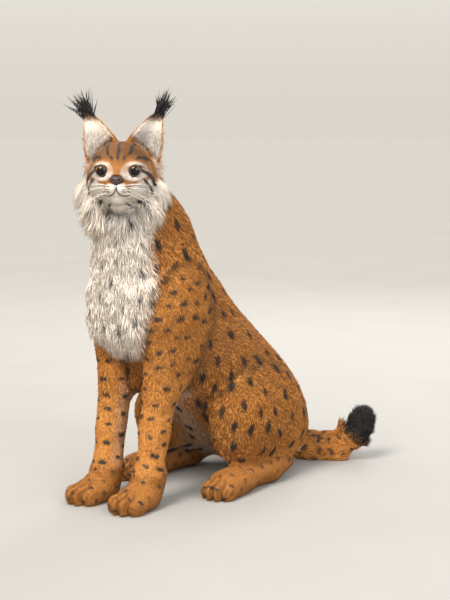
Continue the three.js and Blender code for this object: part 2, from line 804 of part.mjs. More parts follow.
// Side outlines, [y, z], of the upper foreleg with its shoulder blade, and of the thigh
const forelegFront = [[-290, -40], [-290, 120], [-262, 300], [-170, 336]];
const forelegBack = [[-100, 300], [-110, 120], [-110, -40]];
const shoulderFront = [[-262, 300], [-244, 410], [-190, 478], [-110, 512]];
const shoulderBack = [[-66, 440], [-84, 350], [-104, 290], [-180, 270]];
const thighTop = [[-66, 130], [-44, 212], [28, 262], [110, 276], [192, 244]];
const thighFoot = [[236, 170], [226, 84], [170, 20], [60, 6], [-46, 40]];
const thighInner = 72; // the shoulder and thigh are parted from the trunk this far off the middle
const shoulderInner = 68;
const forelegInner = 22;
const farOut = 260;

function forelegCutter(side, grow) {
  const shoulder = sideCut([...shoulderFront, ...shoulderBack], shoulderInner, farOut, side, grow);
  return sideCut([...forelegFront, ...forelegBack], forelegInner, farOut, side, grow).add(shoulder);
}

function thighCutter(side, grow) {
  return sideCut([...thighTop, ...thighFoot], thighInner, farOut, side, grow);
}

const head = skinSolid(skinOf.head, { pose: headPose })
  .subtract(joined(bothSides((side) => eyeball(side, gap))))
  .subtract(joined(bothSides(lidOpening)))
  .subtract(joined(bothSides((side) => mouthLine(skinOf.head.field, side))))
  .subtract(nose(gap));
addPart("head", head, "coat");
addPart("nose", nose().subtract(nostril(1)).subtract(nostril(-1)), "nose");
addPart("neck", body.intersect(aboveNeck(0)).subtract(headGrown), "coat");

let torso = body.subtract(aboveNeck(-gap)).subtract(floor);
const ruffsGrown = [];
for (const [side, label] of [[1, "left"], [-1, "right"]]) {
  const mirror = side < 0;
  const footGrown = skinSolid(skinOf.hindFoot, { mirror, grow: gap });
  torso = torso.subtract(forelegCutter(side, gap)).subtract(thighCutter(side, gap)).subtract(footGrown);

  const earGrown = ear(side, gap);
  const ruff = skinSolid(skinOf.ruff, { mirror, pose: headPose }).add(ruffLocks(side));
  ruffsGrown.push(skinSolid(skinOf.ruff, { mirror, pose: headPose, grow: gap }).add(ruffLocks(side, gap)));
  addPart(`eye_${label}`, eyeball(side), "eye");
  addPart(`ear_${label}`, ear(side).subtract(headGrown).subtract(bodyGrown), "coat");
  addPart(`ear_tuft_${label}`, earTuft(side).subtract(earGrown), "dark");
  addPart(`cheek_ruff_${label}`, ruff.subtract(headGrown).subtract(bodyGrown).subtract(earGrown), "pale");

  const thigh = body.intersect(thighCutter(side, 0)).subtract(footGrown);
  const forepaw = skinSolid(skinOf.forepaw, { mirror }).subtract(aboveWrist(0));
  addPart(`foreleg_${label}`, body.intersect(forelegCutter(side, 0)).intersect(aboveWrist(gap)), "coat");
  addPart(`forepaw_${label}`, forepaw.subtract(floor), "coat");
  addPart(`thigh_${label}`, thigh.subtract(floor), "coat");
  addPart(`hind_foot_${label}`, skinSolid(skinOf.hindFoot, { mirror }).subtract(floor), "coat");
}
addPart("torso", torso, "coat");
const bib = skinSolid(skinOf.bib).add(bibLocks()).subtract(bodyGrown).subtract(headGrown);
addPart("chest_bib", bib.subtract(joined(ruffsGrown)), "pale");

// The black tip is parted from the tail square to its run
const tailCut = new THREE.Matrix4()
  .lookAt(new THREE.Vector3(38, 20, 32), new THREE.Vector3(), new THREE.Vector3(0, 0, 1))
  .setPosition(134, rumpY + 132, 52);

function beyondCut(shift) {
  const size = 300; // larger than what is left of the tail
  const box = new THREE.BoxGeometry(size, size, size).translate(0, 0, size / 2 + shift);
  return solidOf(box.applyMatrix4(tailCut));
}

const tail = skinSolid(skinOf.tail).subtract(bodyGrown).subtract(floor);
addPart("tail", tail.subtract(beyondCut(-gap)), "coat");
addPart("tail_tip", skinSolid(skinOf.tail).add(tailLocks()).intersect(beyondCut(0)), "dark");

// The origin is under the middle of the whole animal
const reach = new THREE.Box3().setFromObject(lynx);
lynx.position.set(-(reach.min.x + reach.max.x) / 2, -(reach.min.y + reach.max.y) / 2, 0);

export default lynx;
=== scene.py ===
import math
import bpy
import numpy as np
from mathutils import Matrix, Vector
from mathutils.bvhtree import BVHTree


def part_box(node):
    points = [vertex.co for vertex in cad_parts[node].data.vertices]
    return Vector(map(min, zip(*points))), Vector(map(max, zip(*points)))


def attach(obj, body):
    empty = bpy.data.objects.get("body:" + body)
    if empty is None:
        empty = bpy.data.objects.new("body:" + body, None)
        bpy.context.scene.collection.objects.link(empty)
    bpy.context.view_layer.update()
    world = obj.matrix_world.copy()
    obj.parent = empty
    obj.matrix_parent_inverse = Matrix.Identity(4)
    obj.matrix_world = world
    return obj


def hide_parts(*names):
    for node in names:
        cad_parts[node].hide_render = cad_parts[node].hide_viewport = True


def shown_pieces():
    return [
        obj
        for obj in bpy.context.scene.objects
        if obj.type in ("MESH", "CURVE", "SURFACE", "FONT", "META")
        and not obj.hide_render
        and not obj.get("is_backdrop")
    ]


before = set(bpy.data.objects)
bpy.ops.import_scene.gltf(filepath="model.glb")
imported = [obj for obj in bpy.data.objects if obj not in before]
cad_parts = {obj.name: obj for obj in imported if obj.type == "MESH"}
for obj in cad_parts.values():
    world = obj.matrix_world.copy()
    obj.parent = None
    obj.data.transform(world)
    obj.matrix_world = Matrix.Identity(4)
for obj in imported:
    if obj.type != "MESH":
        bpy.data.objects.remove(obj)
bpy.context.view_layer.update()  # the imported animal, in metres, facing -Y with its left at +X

chance = np.random.RandomState(4246)  # every random draw comes from here, in order

# Where the animal stands: its head and body were made in millimetres about these places
animal = {
    "headCentre": (12, -222, 672),
    "headSize": 1.06,
    "eye": (30, -56, 13),  # the left one, in the head's own millimetres, as the nose is
    "eyeRadius": 15,
    "nose": (0, -101, -3),
    "noseHalf": (12.5, 8.5, 8.5),
    "lowestSkin": 0.0002,  # metres off the floor
    "lowestHair": 0.0003,
}


def boxMiddle(node):
    low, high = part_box(node)
    return (Vector(low) + Vector(high)) / 2


def animalFrames():
    # the head's and the body's own millimetres to metres in the frame, found from the two eyes
    left, right = boxMiddle("eye_left"), boxMiddle("eye_right")
    side = (left - right).normalized()
    up = Vector((0, 0, 1))
    back = up.cross(side)
    size = animal["headSize"] / 1000
    _, eyeBack, eyeUp = animal["eye"]
    origin = (left + right) / 2 - size * (back * eyeBack + up * eyeUp)
    head = Matrix.Identity(4)
    for column, axis in enumerate((side, back, up)):
        for row in range(3):
            head[row][column] = axis[row] * size
    head.translation = origin
    body = Matrix.Diagonal((0.001, 0.001, 0.001, 1))
    body.translation = origin - Vector(animal["headCentre"]) / 1000
    return head, body


headFrame, bodyFrame = animalFrames()
faceWay = -headFrame.col[1].to_3d().normalized()  # the way that the face looks


def placed(frameOf, x, y, z):
    return frameOf @ Vector((x, y, z))


def local(frameOf, points):
    inverse = np.array(frameOf.inverted())
    return points @ inverse[:3, :3].T + inverse[:3, 3]


def fromLocal(frameOf, points):
    matrix = np.array(frameOf)
    return points @ matrix[:3, :3].T + matrix[:3, 3]


def turned(frameOf, directions):
    # directions given in a local frame, as unit directions in the whole's frame
    spun = np.asarray(directions, float) @ np.array(frameOf)[:3, :3].T
    return unit(spun)


def unit(vectors):
    return vectors / np.maximum(np.linalg.norm(vectors, axis=-1, keepdims=True), 1e-9)


def onSide(side, place):
    # a place or way given for the left, on side 1 for left or -1 for right
    return np.array((side * place[0], *place[1:]), float)


def onBothSides(way, places):
    # a way given for the left, as each place has it on its own side
    side = np.sign(places[:, 0])
    return np.stack([way[0] * side, way[1] + 0 * side, way[2] + 0 * side], axis=1)


def folded(places):
    # places on the right laid over those on the left
    result = places.copy()
    result[:, 0] = np.abs(result[:, 0])
    return result


def smoothStep(low, high, value):
    share = np.clip((value - low) / (high - low), 0, 1)
    return share * share * (3 - 2 * share)


# Helpers that select, edit and read pieces

def selectOnly(*pieces):
    if bpy.context.mode != "OBJECT":
        bpy.ops.object.mode_set(mode="OBJECT")
    bpy.ops.object.select_all(action="DESELECT")
    for piece in pieces:
        piece.select_set(True)
    bpy.context.view_layer.objects.active = pieces[0]


def editWhole(piece, edit, **settings):
    # one edit-mode operator on the whole of a piece
    selectOnly(piece)
    bpy.ops.object.mode_set(mode="EDIT")
    bpy.ops.mesh.select_all(action="SELECT")
    edit(**settings)
    bpy.ops.object.mode_set(mode="OBJECT")


def applyModifier(piece, kind, **settings):
    selectOnly(piece)
    modifier = piece.modifiers.new(kind.lower(), kind)
    for key, value in settings.items():
        setattr(modifier, key, value)
    bpy.ops.object.modifier_apply(modifier=modifier.name)


def shadeSmooth(piece):
    selectOnly(piece)
    bpy.ops.object.shade_smooth()


def addToScene(name, data):
    piece = bpy.data.objects.new(name, data)
    bpy.context.scene.collection.objects.link(piece)
    return piece


def joinPieces(pieces, name):
    selectOnly(*pieces)
    bpy.ops.object.join()
    piece = bpy.context.object
    piece.name = name
    piece.data.name = name
    return piece


def copyOfNodes(names, name):
    copies = []
    for node in names:
        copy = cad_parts[node].copy()
        copy.data = copy.data.copy()
        copy.data.materials.clear()
        copy.parent = None
        for key in list(copy.keys()):
            del copy[key]
        bpy.context.scene.collection.objects.link(copy)
        copies.append(copy)
    piece = joinPieces(copies, name)
    editWhole(piece, bpy.ops.mesh.remove_doubles, threshold=1e-6)
    return piece


def ovalLump(frameOf, centre, radii):
    # a sphere set in one of the animal's frames and stretched along its axes
    bpy.ops.mesh.primitive_uv_sphere_add(segments=32, ring_count=16, radius=1)
    piece = bpy.context.object
    piece.data.transform(frameOf @ Matrix.Translation(centre) @ Matrix.Diagonal((*radii, 1)))
    return piece


def numbersOf(items, key, width, kind=float):
    # one row of numbers for each vertex, edge, face or corner
    values = np.empty(len(items) * width, kind)
    items.foreach_get(key, values)
    return values.reshape(-1, width)


def pointsOf(piece):
    return numbersOf(piece.data.vertices, "co", 3)


def normalsOf(piece):
    return numbersOf(piece.data.vertices, "normal", 3)


def setPoints(piece, points):
    piece.data.vertices.foreach_set("co", points.ravel())
    piece.data.update()


def storeAttribute(mesh, name, values):
    # one colour, red to alpha, for each vertex
    attribute = mesh.attributes.new(name, "FLOAT_COLOR", "POINT")
    attribute.data.foreach_set("color", np.asarray(values, np.float32).ravel())


def nearestIn(mesh):
    # a tree that finds the nearest place on a mesh
    return BVHTree.FromPolygons([v.co for v in mesh.vertices], [p.vertices for p in mesh.polygons])


# Materials: one function for colours and one that adds a node

def srgb(code):
    # "#rrggbb" as linear light, with alpha
    parts = [int(code[i:i + 2], 16) / 255 for i in (1, 3, 5)]
    return (*[part / 12.92 if part <= 0.04045 else ((part + 0.055) / 1.055) ** 2.4 for part in parts], 1)


def addNode(tree, kind, links=None, **settings):
    node = tree.nodes.new(kind)
    for key, value in settings.items():
        setattr(node, key, value)
    for socket, source in (links or {}).items():
        if isinstance(source, bpy.types.NodeSocket):
            tree.links.new(source, node.inputs[socket])
        else:
            node.inputs[socket].default_value = source
    return node


def newMaterial(name, **shaderValues):
    material = bpy.data.materials.new(name)
    material.use_nodes = True
    tree = material.node_tree
    shader = tree.nodes["Principled BSDF"]
    for socket, value in shaderValues.items():
        shader.inputs[socket].default_value = value
    return material, tree, shader


# a node that mixes two colours: its sockets 0, 6 and 7 are the share and the colours, and its output is 2
colourMix = {"kind": "ShaderNodeMix", "data_type": "RGBA"}


coatLook = {
    "ground": "#d8862d",  # ochre brown of back and flanks
    "groundDeep": "#955d24",
    "groundLight": "#e2ab62",
    "pale": "#fff5e8",  # cream of face, bib and belly
    "paleShade": "#e3d4c0",
    "mark": "#38302b",  # spots and strokes
    "black": "#1f1b1a",
    "paintedShade": "#140d08",  # painted shade: what the colours darken to in creases, in hollows and on the skin under the coat
    "patchSize": 55,  # millimetres across the soft patches of warmer hair
    "patchShare": 0.45,
    "paleShare": 0.35,
    "grain": 2.2,  # millimetres from hair to hair in the underfur, coarser than the real so that it shows
    "grainRise": 0.0008,
    # painted shade: how far the skin under the tufts darkens towards the painted shade's colour
    "skinShade": 0.22,
    "rootShade": 0.6,  # how light hair is at its root and at its tip; the darker root is partly the underfur's own colour and partly painted shade of the coat's depth
    "tipShade": 1.08,
    "tuftShades": (0.8, 1.18),  # from the darkest tuft to the lightest
}


def coatMaterial(name, onSkin):
    # Lynx fur: soft matte hair with paler tips over deeper roots, the roots partly the underfur's own colour
    # and partly painted shade of the coat's depth, so the coat reads thick and never plastic
    material, tree, shader = newMaterial(name, Roughness=0.74)
    shader.inputs["Specular IOR Level"].default_value = 0.28
    shader.inputs["Sheen Weight"].default_value = 0.05
    shader.inputs["Sheen Roughness"].default_value = 0.5
    marksAndShade = addNode(tree, "ShaderNodeAttribute", attribute_name="coatMarksAndShade")
    parts = addNode(tree, "ShaderNodeSeparateColor", {"Color": marksAndShade.outputs["Color"]})
    tone = addNode(tree, "ShaderNodeAttribute", attribute_name="coatTone")
    tones = addNode(tree, "ShaderNodeSeparateColor", {"Color": tone.outputs["Color"]})
    place = addNode(tree, "ShaderNodeTexCoord")
    patches = addNode(
        tree, "ShaderNodeTexNoise",
        {"Vector": place.outputs["Object"], "Scale": 1000 / coatLook["patchSize"], "Detail": 3.0},
    )
    patch = patches.outputs["Fac"]
    tint = {key: srgb(value) for key, value in coatLook.items() if isinstance(value, str)}
    warm = addNode(tree, links={0: patch, 6: tint["groundDeep"], 7: tint["groundLight"]}, **colourMix)
    ground = {0: coatLook["patchShare"], 6: tint["ground"], 7: warm.outputs[2]}
    colour = addNode(tree, links=ground, **colourMix)
    cream = addNode(tree, links={0: patch, 6: tint["pale"], 7: tint["paleShade"]}, **colourMix)
    pale = {0: coatLook["paleShare"], 6: tint["pale"], 7: cream.outputs[2]}
    cream = addNode(tree, links=pale, **colourMix)
    layers = [
        (tones.outputs["Green"], tint["groundDeep"]),
        (parts.outputs["Green"], cream.outputs[2]),
        (parts.outputs["Red"], tint["mark"]),
        (parts.outputs["Blue"], tint["black"]),
    ]
    for share, over in layers:
        colour = addNode(tree, links={0: share, 6: colour.outputs[2], 7: over}, **colourMix)
    # painted shade: where the alpha of the marks is low, the colour darkens to the painted shade's colour
    light = {0: marksAndShade.outputs["Alpha"], 6: tint["paintedShade"], 7: colour.outputs[2]}
    colour = addNode(tree, links=light, **colourMix)
    if onSkin:
        # painted shade: the skin under the coat is darkened as if shaded by the hair over it
        shade = {0: coatLook["skinShade"], 6: colour.outputs[2], 7: tint["paintedShade"]}
        depth = addNode(tree, links=shade, **colourMix)
        grain = addNode(
            tree, "ShaderNodeTexNoise",
            {"Vector": place.outputs["Object"], "Scale": 1000 / coatLook["grain"], "Detail": 2.0},
        )
        relief = {"Height": grain.outputs["Fac"], "Strength": 0.5, "Distance": coatLook["grainRise"]}
        bump = addNode(tree, "ShaderNodeBump", relief)
        tree.links.new(bump.outputs["Normal"], shader.inputs["Normal"])
        tree.links.new(depth.outputs[2], shader.inputs["Base Color"])
        return material
    # the red of coatTone runs from 0 at the root to 1 at the tip, and its blue differs from tuft to tuft
    value = addNode(tree, "ShaderNodeMath", operation="MULTIPLY")
    # painted shade, partly: each tuft is darker at its root than at its tip, over the underfur's own darker
    # colour
    lengthways = (coatLook["rootShade"], coatLook["tipShade"])
    for socket, (channel, (low, high)) in enumerate((("Red", lengthways), ("Blue", coatLook["tuftShades"]))):
        fromTo = {"Value": tones.outputs[channel], "To Min": low, "To Max": high}
        shade = addNode(tree, "ShaderNodeMapRange", fromTo)
        tree.links.new(shade.outputs[0], value.inputs[socket])
    shaded = {"Color": colour.outputs[2], "Value": value.outputs[0]}
    final = addNode(tree, "ShaderNodeHueSaturation", shaded)
    tree.links.new(final.outputs[0], shader.inputs["Base Color"])
    return material


skinFur = coatMaterial("underfur close to the skin", True)
coatFur = coatMaterial("guard hair grown in tufts", False)


# The skin: one surface over every node of flesh, let in by the depth of the coat

middleNodes = {"head": "face", "neck": "neck", "torso": "torso", "tail": "tail"}  # nodes and their coat
pairedNodes = {
    "ear": "earBack", "foreleg": "foreleg", "forepaw": "forepaw", "thigh": "thigh", "hind_foot": "hindFoot",
}
nodeRegions = dict(middleNodes)
for pairedNode, pairedRegion in pairedNodes.items():
    nodeRegions[f"{pairedNode}_left"] = pairedRegion
    nodeRegions[f"{pairedNode}_right"] = pairedRegion
fleshNodes = list(nodeRegions)

skinShape = {
    "voxel": 0.0032,
    "grow": 0.0006,  # closes the hairline gaps between nodes
    "earGrow": 0.0009,
    "smoothing": 8,
    "triangles": 146000,  # about as many are left by thinning, which spares the head and the toes
    "headReach": 125,  # millimetres from the middle of the head
    # lumps under the long hair of the ruff, in the head's millimetres: centre, half sizes
    "ruffCore": [
        ((48, 14, 14), (14, 21, 16)),
        ((52, 4, -20), (20, 29, 26)),
        ((45, -8, -46), (19, 26, 20)),
        ((43, -14, -64), (10, 13, 13)),
    ],
    # and at the end of the tail, in the body's
    "tailCore": [
        ((140, 402, 54), (28, 28, 28)),
        ((152, 409, 74), (24, 24, 24)),
        ((160, 412, 90), (20, 20, 20)),
    ],
}


def makeSkin():
    ears = copyOfNodes(["ear_left", "ear_right"], "earCopies")
    applyModifier(ears, "DISPLACE", strength=skinShape["earGrow"], mid_level=0)
    rest = [node for node in fleshNodes if not node.startswith("ear")]
    flesh = copyOfNodes(rest + ["eye_left", "eye_right", "nose"], "fleshCopies")
    applyModifier(flesh, "DISPLACE", strength=skinShape["grow"], mid_level=0)
    lumps = []
    for centre, radii in skinShape["ruffCore"]:
        lumps += [ovalLump(headFrame, onSide(side, centre), radii) for side in (1, -1)]
    for centre, radii in skinShape["tailCore"]:
        lumps.append(ovalLump(bodyFrame, centre, radii))
    skin = joinPieces([flesh, ears, *lumps], "skin")
    applyModifier(skin, "REMESH", mode="VOXEL", voxel_size=skinShape["voxel"], adaptivity=0.0)
    applyModifier(skin, "SMOOTH", factor=0.5, iterations=skinShape["smoothing"])
    thinBody(skin)
    refineFeatures(skin)
    shadeSmooth(skin)
    return skin


paws = [  # middle on the floor, turn in degrees, reach and width, in the body's millimetres; one on each side
    {"middle": (60, -234, -1), "turn": 4, "reach": 104, "width": 88},
    {"middle": (128, -32, 0), "turn": 7, "reach": 100, "width": 84},
]
toeShape = {
    "start": 0.2,  # where the toes begin and are whole, as shares of the paw's reach
    "whole": 0.45,
    "within": 0.8,
    "height": 62,  # the rest in millimetres, but for gapsBack and gapsFront
    "rise": 1.6,
    "gapDepth": 4.6,
    "gapWidth": 3.0,
    "gapsBack": 0.12,  # how far the outer gaps are from the middle one, as shares of the paw's width
    "gapsFront": 0.225,
}


def pawPlaces(points, paw, side):
    # places in a paw's own millimetres, toes towards -y, as if it were a left one
    body = local(bodyFrame, points) - onSide(side, paw["middle"])
    turn = math.radians(side * paw["turn"])
    x = body[:, 0] * math.cos(turn) + body[:, 1] * math.sin(turn)
    y = -body[:, 0] * math.sin(turn) + body[:, 1] * math.cos(turn)
    return side * x, y, body[:, 2]


def toeReach(points):
    # how far forward on a paw's toes each point lies, from 0 behind them to 1, and how deep in the gaps
    forward = np.zeros(len(points))
    gaps = np.zeros(len(points))
    for paw in paws:
        for side in (1, -1):
            x, y, z = pawPlaces(points, paw, side)
            near = (np.hypot(x, y) < paw["reach"] * toeShape["within"]) & (z < toeShape["height"])
            along = near * smoothStep(toeShape["start"], toeShape["whole"], -y / paw["reach"])
            forward = np.maximum(forward, along)
            opening = toeShape["gapsFront"] - toeShape["gapsBack"]
            spread = paw["width"] * (toeShape["gapsBack"] + opening * along)
            for middle in (0, spread, -spread):
                apart = (x - middle) / toeShape["gapWidth"]
                gaps = np.maximum(gaps, along * np.exp(-apart * apart))
    return forward, gaps


def thinBody(skin):
    points = pointsOf(skin)
    fromHead = np.linalg.norm(local(headFrame, points), axis=1)
    spare = (fromHead > skinShape["headReach"]) & (toeReach(points)[0] == 0)
    group = skin.vertex_groups.new(name="body")
    group.add(np.nonzero(spare)[0].tolist(), 1.0, "REPLACE")
    ratio = skinShape["triangles"] / (2 * len(skin.data.polygons))
    applyModifier(skin, "DECIMATE", ratio=ratio, vertex_group="body")
    skin.vertex_groups.clear()


fineSkin = {  # where the mesh is halved: the front of the face, in the head's millimetres, and the toes
    "faceFront": -22,
    "faceSide": 58,
    "faceLow": -62,
    "faceHigh": 44,
    "toeLow": 0.004,  # metres above the floor
    "smoothing": 4,
}


def refineFeatures(skin):
    mesh = skin.data
    centres = numbersOf(mesh.polygons, "center", 3)
    x, y, z = local(headFrame, centres).T
    onFace = (y < fineSkin["faceFront"]) & (np.abs(x) < fineSkin["faceSide"])
    onFace &= (z > fineSkin["faceLow"]) & (z < fineSkin["faceHigh"])
    onToes = (toeReach(centres)[0] > 0) & (centres[:, 2] > fineSkin["toeLow"])
    selectOnly(skin)
    bpy.ops.object.mode_set(mode="EDIT")
    bpy.ops.mesh.select_mode(type="FACE")
    bpy.ops.mesh.select_all(action="DESELECT")
    bpy.ops.object.mode_set(mode="OBJECT")
    mesh.polygons.foreach_set("select", onFace | onToes)
    bpy.ops.object.mode_set(mode="EDIT")
    bpy.ops.mesh.subdivide(number_cuts=1)
    bpy.ops.mesh.vertices_smooth(factor=0.5, repeat=fineSkin["smoothing"])
    bpy.ops.mesh.select_mode(type="VERT")
    bpy.ops.object.mode_set(mode="OBJECT")


# Small forms of the face in the head's millimetres, the same on both sides: centre, half sizes, rise
faceForms = [
    ((13, -99, -19), (11, 14, 9), 2.0),  # whisker pads
    ((0, -106, -21), (2.6, 12, 10), -1.8),  # groove under the nose
    ((0, -94, -43), (12, 12, 8), 1.6),  # chin
    ((26, -56, 31), (15, 16, 6), 2.2),  # brows
    ((14, -72, 5), (6, 14, 9), -1.8),  # hollows beside the bridge of the nose
    ((46, -40, -8), (16, 20, 12), 1.8),  # cheekbones
]
mouth = {  # from under the nose down and back along the left lip
    "stops": [(0, -108, -14), (0, -108, -25), (8, -106, -33), (18, -94, -35), (23, -78, -34), (25, -64, -30)],
    "depth": 2.0,
    "width": 2.4,
}


def pathDistance(points, stops):
    nearest = np.full(len(points), 1e9)
    for start, end in zip(stops, stops[1:]):
        start, end = np.array(start, float), np.array(end, float)
        along = end - start
        share = np.clip((points - start) @ along / (along @ along), 0, 1)
        nearest = np.minimum(nearest, np.linalg.norm(points - start - share[:, None] * along, axis=1))
    return nearest


def sculptFace(skin):
    points, normals = pointsOf(skin), normalsOf(skin)
    head = folded(local(headFrame, points))
    rise = np.zeros(len(points))
    for centre, halves, height in faceForms:
        apart = (head - np.array(centre)) / np.array(halves)
        rise += height * np.exp(-np.sum(apart * apart, axis=1))
    groove = pathDistance(head, mouth["stops"]) / mouth["width"]
    rise -= mouth["depth"] * np.exp(-groove * groove)
    setPoints(skin, points + normals * (rise / 1000)[:, None])


def sculptToes(skin):
    points, normals = pointsOf(skin), normalsOf(skin)
    forward, gaps = toeReach(points)
    rise = toeShape["rise"] * forward - (toeShape["gapDepth"] + toeShape["rise"]) * gaps
    points += normals * (rise / 1000)[:, None]
    points[:, 2] = np.maximum(points[:, 2], animal["lowestSkin"])
    setPoints(skin, points)


skin = makeSkin()
sculptFace(skin)
sculptToes(skin)
print("skin:", len(skin.data.polygons), "faces")

# What grows where: length, width and depth of the hair in millimetres, how many degrees it stands off the
# skin, and tufts to a square centimetre
coatRegions = {
    "face": dict(length=8, width=1.05, depth=2.4, stand=26, tufts=92),
    "earBack": dict(length=8, width=1.3, depth=0.5, stand=24, tufts=46),
    "earCup": dict(length=11, width=1.1, depth=0.2, stand=30, tufts=20),
    "ruff": dict(length=46, width=1.8, depth=1.0, stand=28, tufts=56),
    "neck": dict(length=24, width=2.2, depth=9, stand=26, tufts=13),
    "torso": dict(length=22, width=2.1, depth=9, stand=25, tufts=9.4),
    "bib": dict(length=46, width=2.1, depth=-7, stand=24, tufts=29),  # the skin comes forward under the bib
    "foreleg": dict(length=13, width=1.7, depth=4.5, stand=22, tufts=10),
    "forepaw": dict(length=9.5, width=1.4, depth=1.6, stand=29, tufts=22),
    "thigh": dict(length=19, width=2.0, depth=7.5, stand=24, tufts=11),
    "hindFoot": dict(length=10, width=1.4, depth=2.0, stand=29, tufts=20),
    "tail": dict(length=20, width=2.6, depth=8, stand=28, tufts=20),
    "tailTip": dict(length=34, width=2.6, depth=1.0, stand=34, tufts=26),
}
regionNames = list(coatRegions)
regionLimits = {
    "around": 0.012,  # metres round a node's box where the skin may be that node's
    "search": 0.03,
    "cupFacing": 0.15,  # the skin of an ear that faces forward is its cup
    "coreSkin": 0.16,  # how near to a ruff lump's own surface its skin lies, as a share of its size
    "coreRise": 0.0015,  # metres off the flesh
    "tailRise": 0.004,
    "tailBack": 340,  # the rest in the body's millimetres
    "tipPlace": (134, 400, 52),  # the black tip is beyond this place along this way
    "tipWay": (0.64, 0.34, 0.69),
    "bibMiddle": (0, -262, 466),
    "bibHalf": (88, 112, 168),
    "bibEdge": (1.06, 0.94),
    "blend": 10,  # rounds in which neighbouring regions run into each other
}


def spreadOut(values, edges, rounds):
    # each vertex moves to the mean of itself and its neighbours
    flat = values.reshape(len(values), -1)
    count = np.bincount(edges.ravel(), minlength=len(values))[:, None] + 1.0
    for _ in range(rounds):
        total = flat.copy()
        for column in range(flat.shape[1]):
            total[:, column] += np.bincount(edges[:, 0], flat[edges[:, 1], column], len(values))
            total[:, column] += np.bincount(edges[:, 1], flat[edges[:, 0], column], len(values))
        flat = total / count
    return flat.reshape(values.shape)


def nearestFlesh(points):
    # which node of flesh is nearest to each point, and how far off it is
    nearest = np.full(len(points), 1e9)
    owner = np.zeros(len(points), int)
    for index, node in enumerate(fleshNodes):
        tree = nearestIn(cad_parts[node].data)
        low, high = (np.array(corner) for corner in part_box(node))
        around = regionLimits["around"]
        close = np.nonzero(np.all((points > low - around) & (points < high + around), axis=1))[0]
        for i in close:
            found = tree.find_nearest(points[i], regionLimits["search"])
            if found[0] is not None and found[3] < nearest[i]:
                nearest[i] = found[3]
                owner[i] = index
    return owner, nearest


def bibShare(body):
    # 1 within the bib, falling to 0 at its edge; points in the body's millimetres
    apart = (body - np.array(regionLimits["bibMiddle"])) / np.array(regionLimits["bibHalf"])
    return smoothStep(*regionLimits["bibEdge"], np.linalg.norm(apart, axis=1))


def regionShares(points, normals):
    # how much each point belongs to each region, one column each
    number = {name: i for i, name in enumerate(regionNames)}
    owner, nearest = nearestFlesh(points)
    columns = np.array([number[nodeRegions[node]] for node in fleshNodes])[owner]
    head, body = local(headFrame, points), local(bodyFrame, points)
    isEar = columns == number["earBack"]
    columns[isEar & (normals @ np.array(faceWay) > regionLimits["cupFacing"])] = number["earCup"]
    for centre, radii in skinShape["ruffCore"]:
        for side in (1, -1):
            apart = np.linalg.norm((head - onSide(side, centre)) / np.array(radii), axis=1)
            onCore = (np.abs(apart - 1) < regionLimits["coreSkin"]) & (nearest > regionLimits["coreRise"])
            columns[onCore & ~isEar] = number["ruff"]
    tipWay = np.array(regionLimits["tipWay"])
    offTail = (nearest > regionLimits["tailRise"]) & (body[:, 1] > regionLimits["tailBack"])
    beyond = body @ tipWay > np.array(regionLimits["tipPlace"]) @ tipWay
    columns[((columns == number["tail"]) | offTail) & beyond] = number["tailTip"]
    shares = np.eye(len(regionNames))[columns]
    bib = bibShare(body) * np.isin(columns, [number[name] for name in ("neck", "torso", "foreleg")])
    shares *= (1 - bib)[:, None]
    shares[:, number["bib"]] += bib
    return shares


edges = numbersOf(skin.data.edges, "vertices", 2, int)
shares = spreadOut(regionShares(pointsOf(skin), normalsOf(skin)), edges, regionLimits["blend"])


def regionValue(key):
    return shares @ np.array([coatRegions[name][key] for name in regionNames], float)


def shareOf(*names):
    return shares[:, [regionNames.index(name) for name in names]].sum(axis=1)


def columnsOf(shares):
    return {name: shares[:, i] for i, name in enumerate(regionNames)}


letIn = {
    "eyeReach": 30,  # round each eye, in the head's millimetres, the skin is let in by no more than eyeDepth
    "eyeDepth": 0.0015,
    "noseShare": 0.25,  # at the nose it is let in by this share
    "noseReach": (16, 60),  # millimetres from its middle
    "creaseDepth": 0.006,  # and further between flank and thigh, above creaseHeight
    "creaseHeight": (0.1, 0.2),
    "soleHeight": (0.012, 0.002),  # it isn't let in where it is this low and faces down
    "soleFacing": (-0.3, -0.8),
    "blend": 6,  # rounds of evening out the depth, and then the skin
    "smoothing": 3,
}


def letInSkin():
    # pulls the skin in under the coat, but not at the soles, and never under the floor
    points, normals = pointsOf(skin), normalsOf(skin)
    depth = regionValue("depth") / 1000
    head = local(headFrame, points)
    toEye = np.linalg.norm(folded(head) - np.array(animal["eye"]), axis=1)
    depth = np.where(toEye < letIn["eyeReach"], np.minimum(depth, letIn["eyeDepth"]), depth)
    toNose = np.linalg.norm(head - np.array(animal["nose"]), axis=1)
    depth = depth * (letIn["noseShare"] + (1 - letIn["noseShare"]) * smoothStep(*letIn["noseReach"], toNose))
    crease = np.clip(4 * shareOf("thigh") * shareOf("torso"), 0, 1)  # 1 where each has half
    depth += letIn["creaseDepth"] * crease * smoothStep(*letIn["creaseHeight"], points[:, 2])
    sole = smoothStep(*letIn["soleHeight"], points[:, 2]) * smoothStep(*letIn["soleFacing"], normals[:, 2])
    depth = spreadOut(depth * (1 - sole), edges, letIn["blend"])
    points = points - normals * depth[:, None]
    points[:, 2] = np.maximum(points[:, 2], animal["lowestSkin"])
    setPoints(skin, points)
    applyModifier(skin, "SMOOTH", factor=0.4, iterations=letIn["smoothing"])


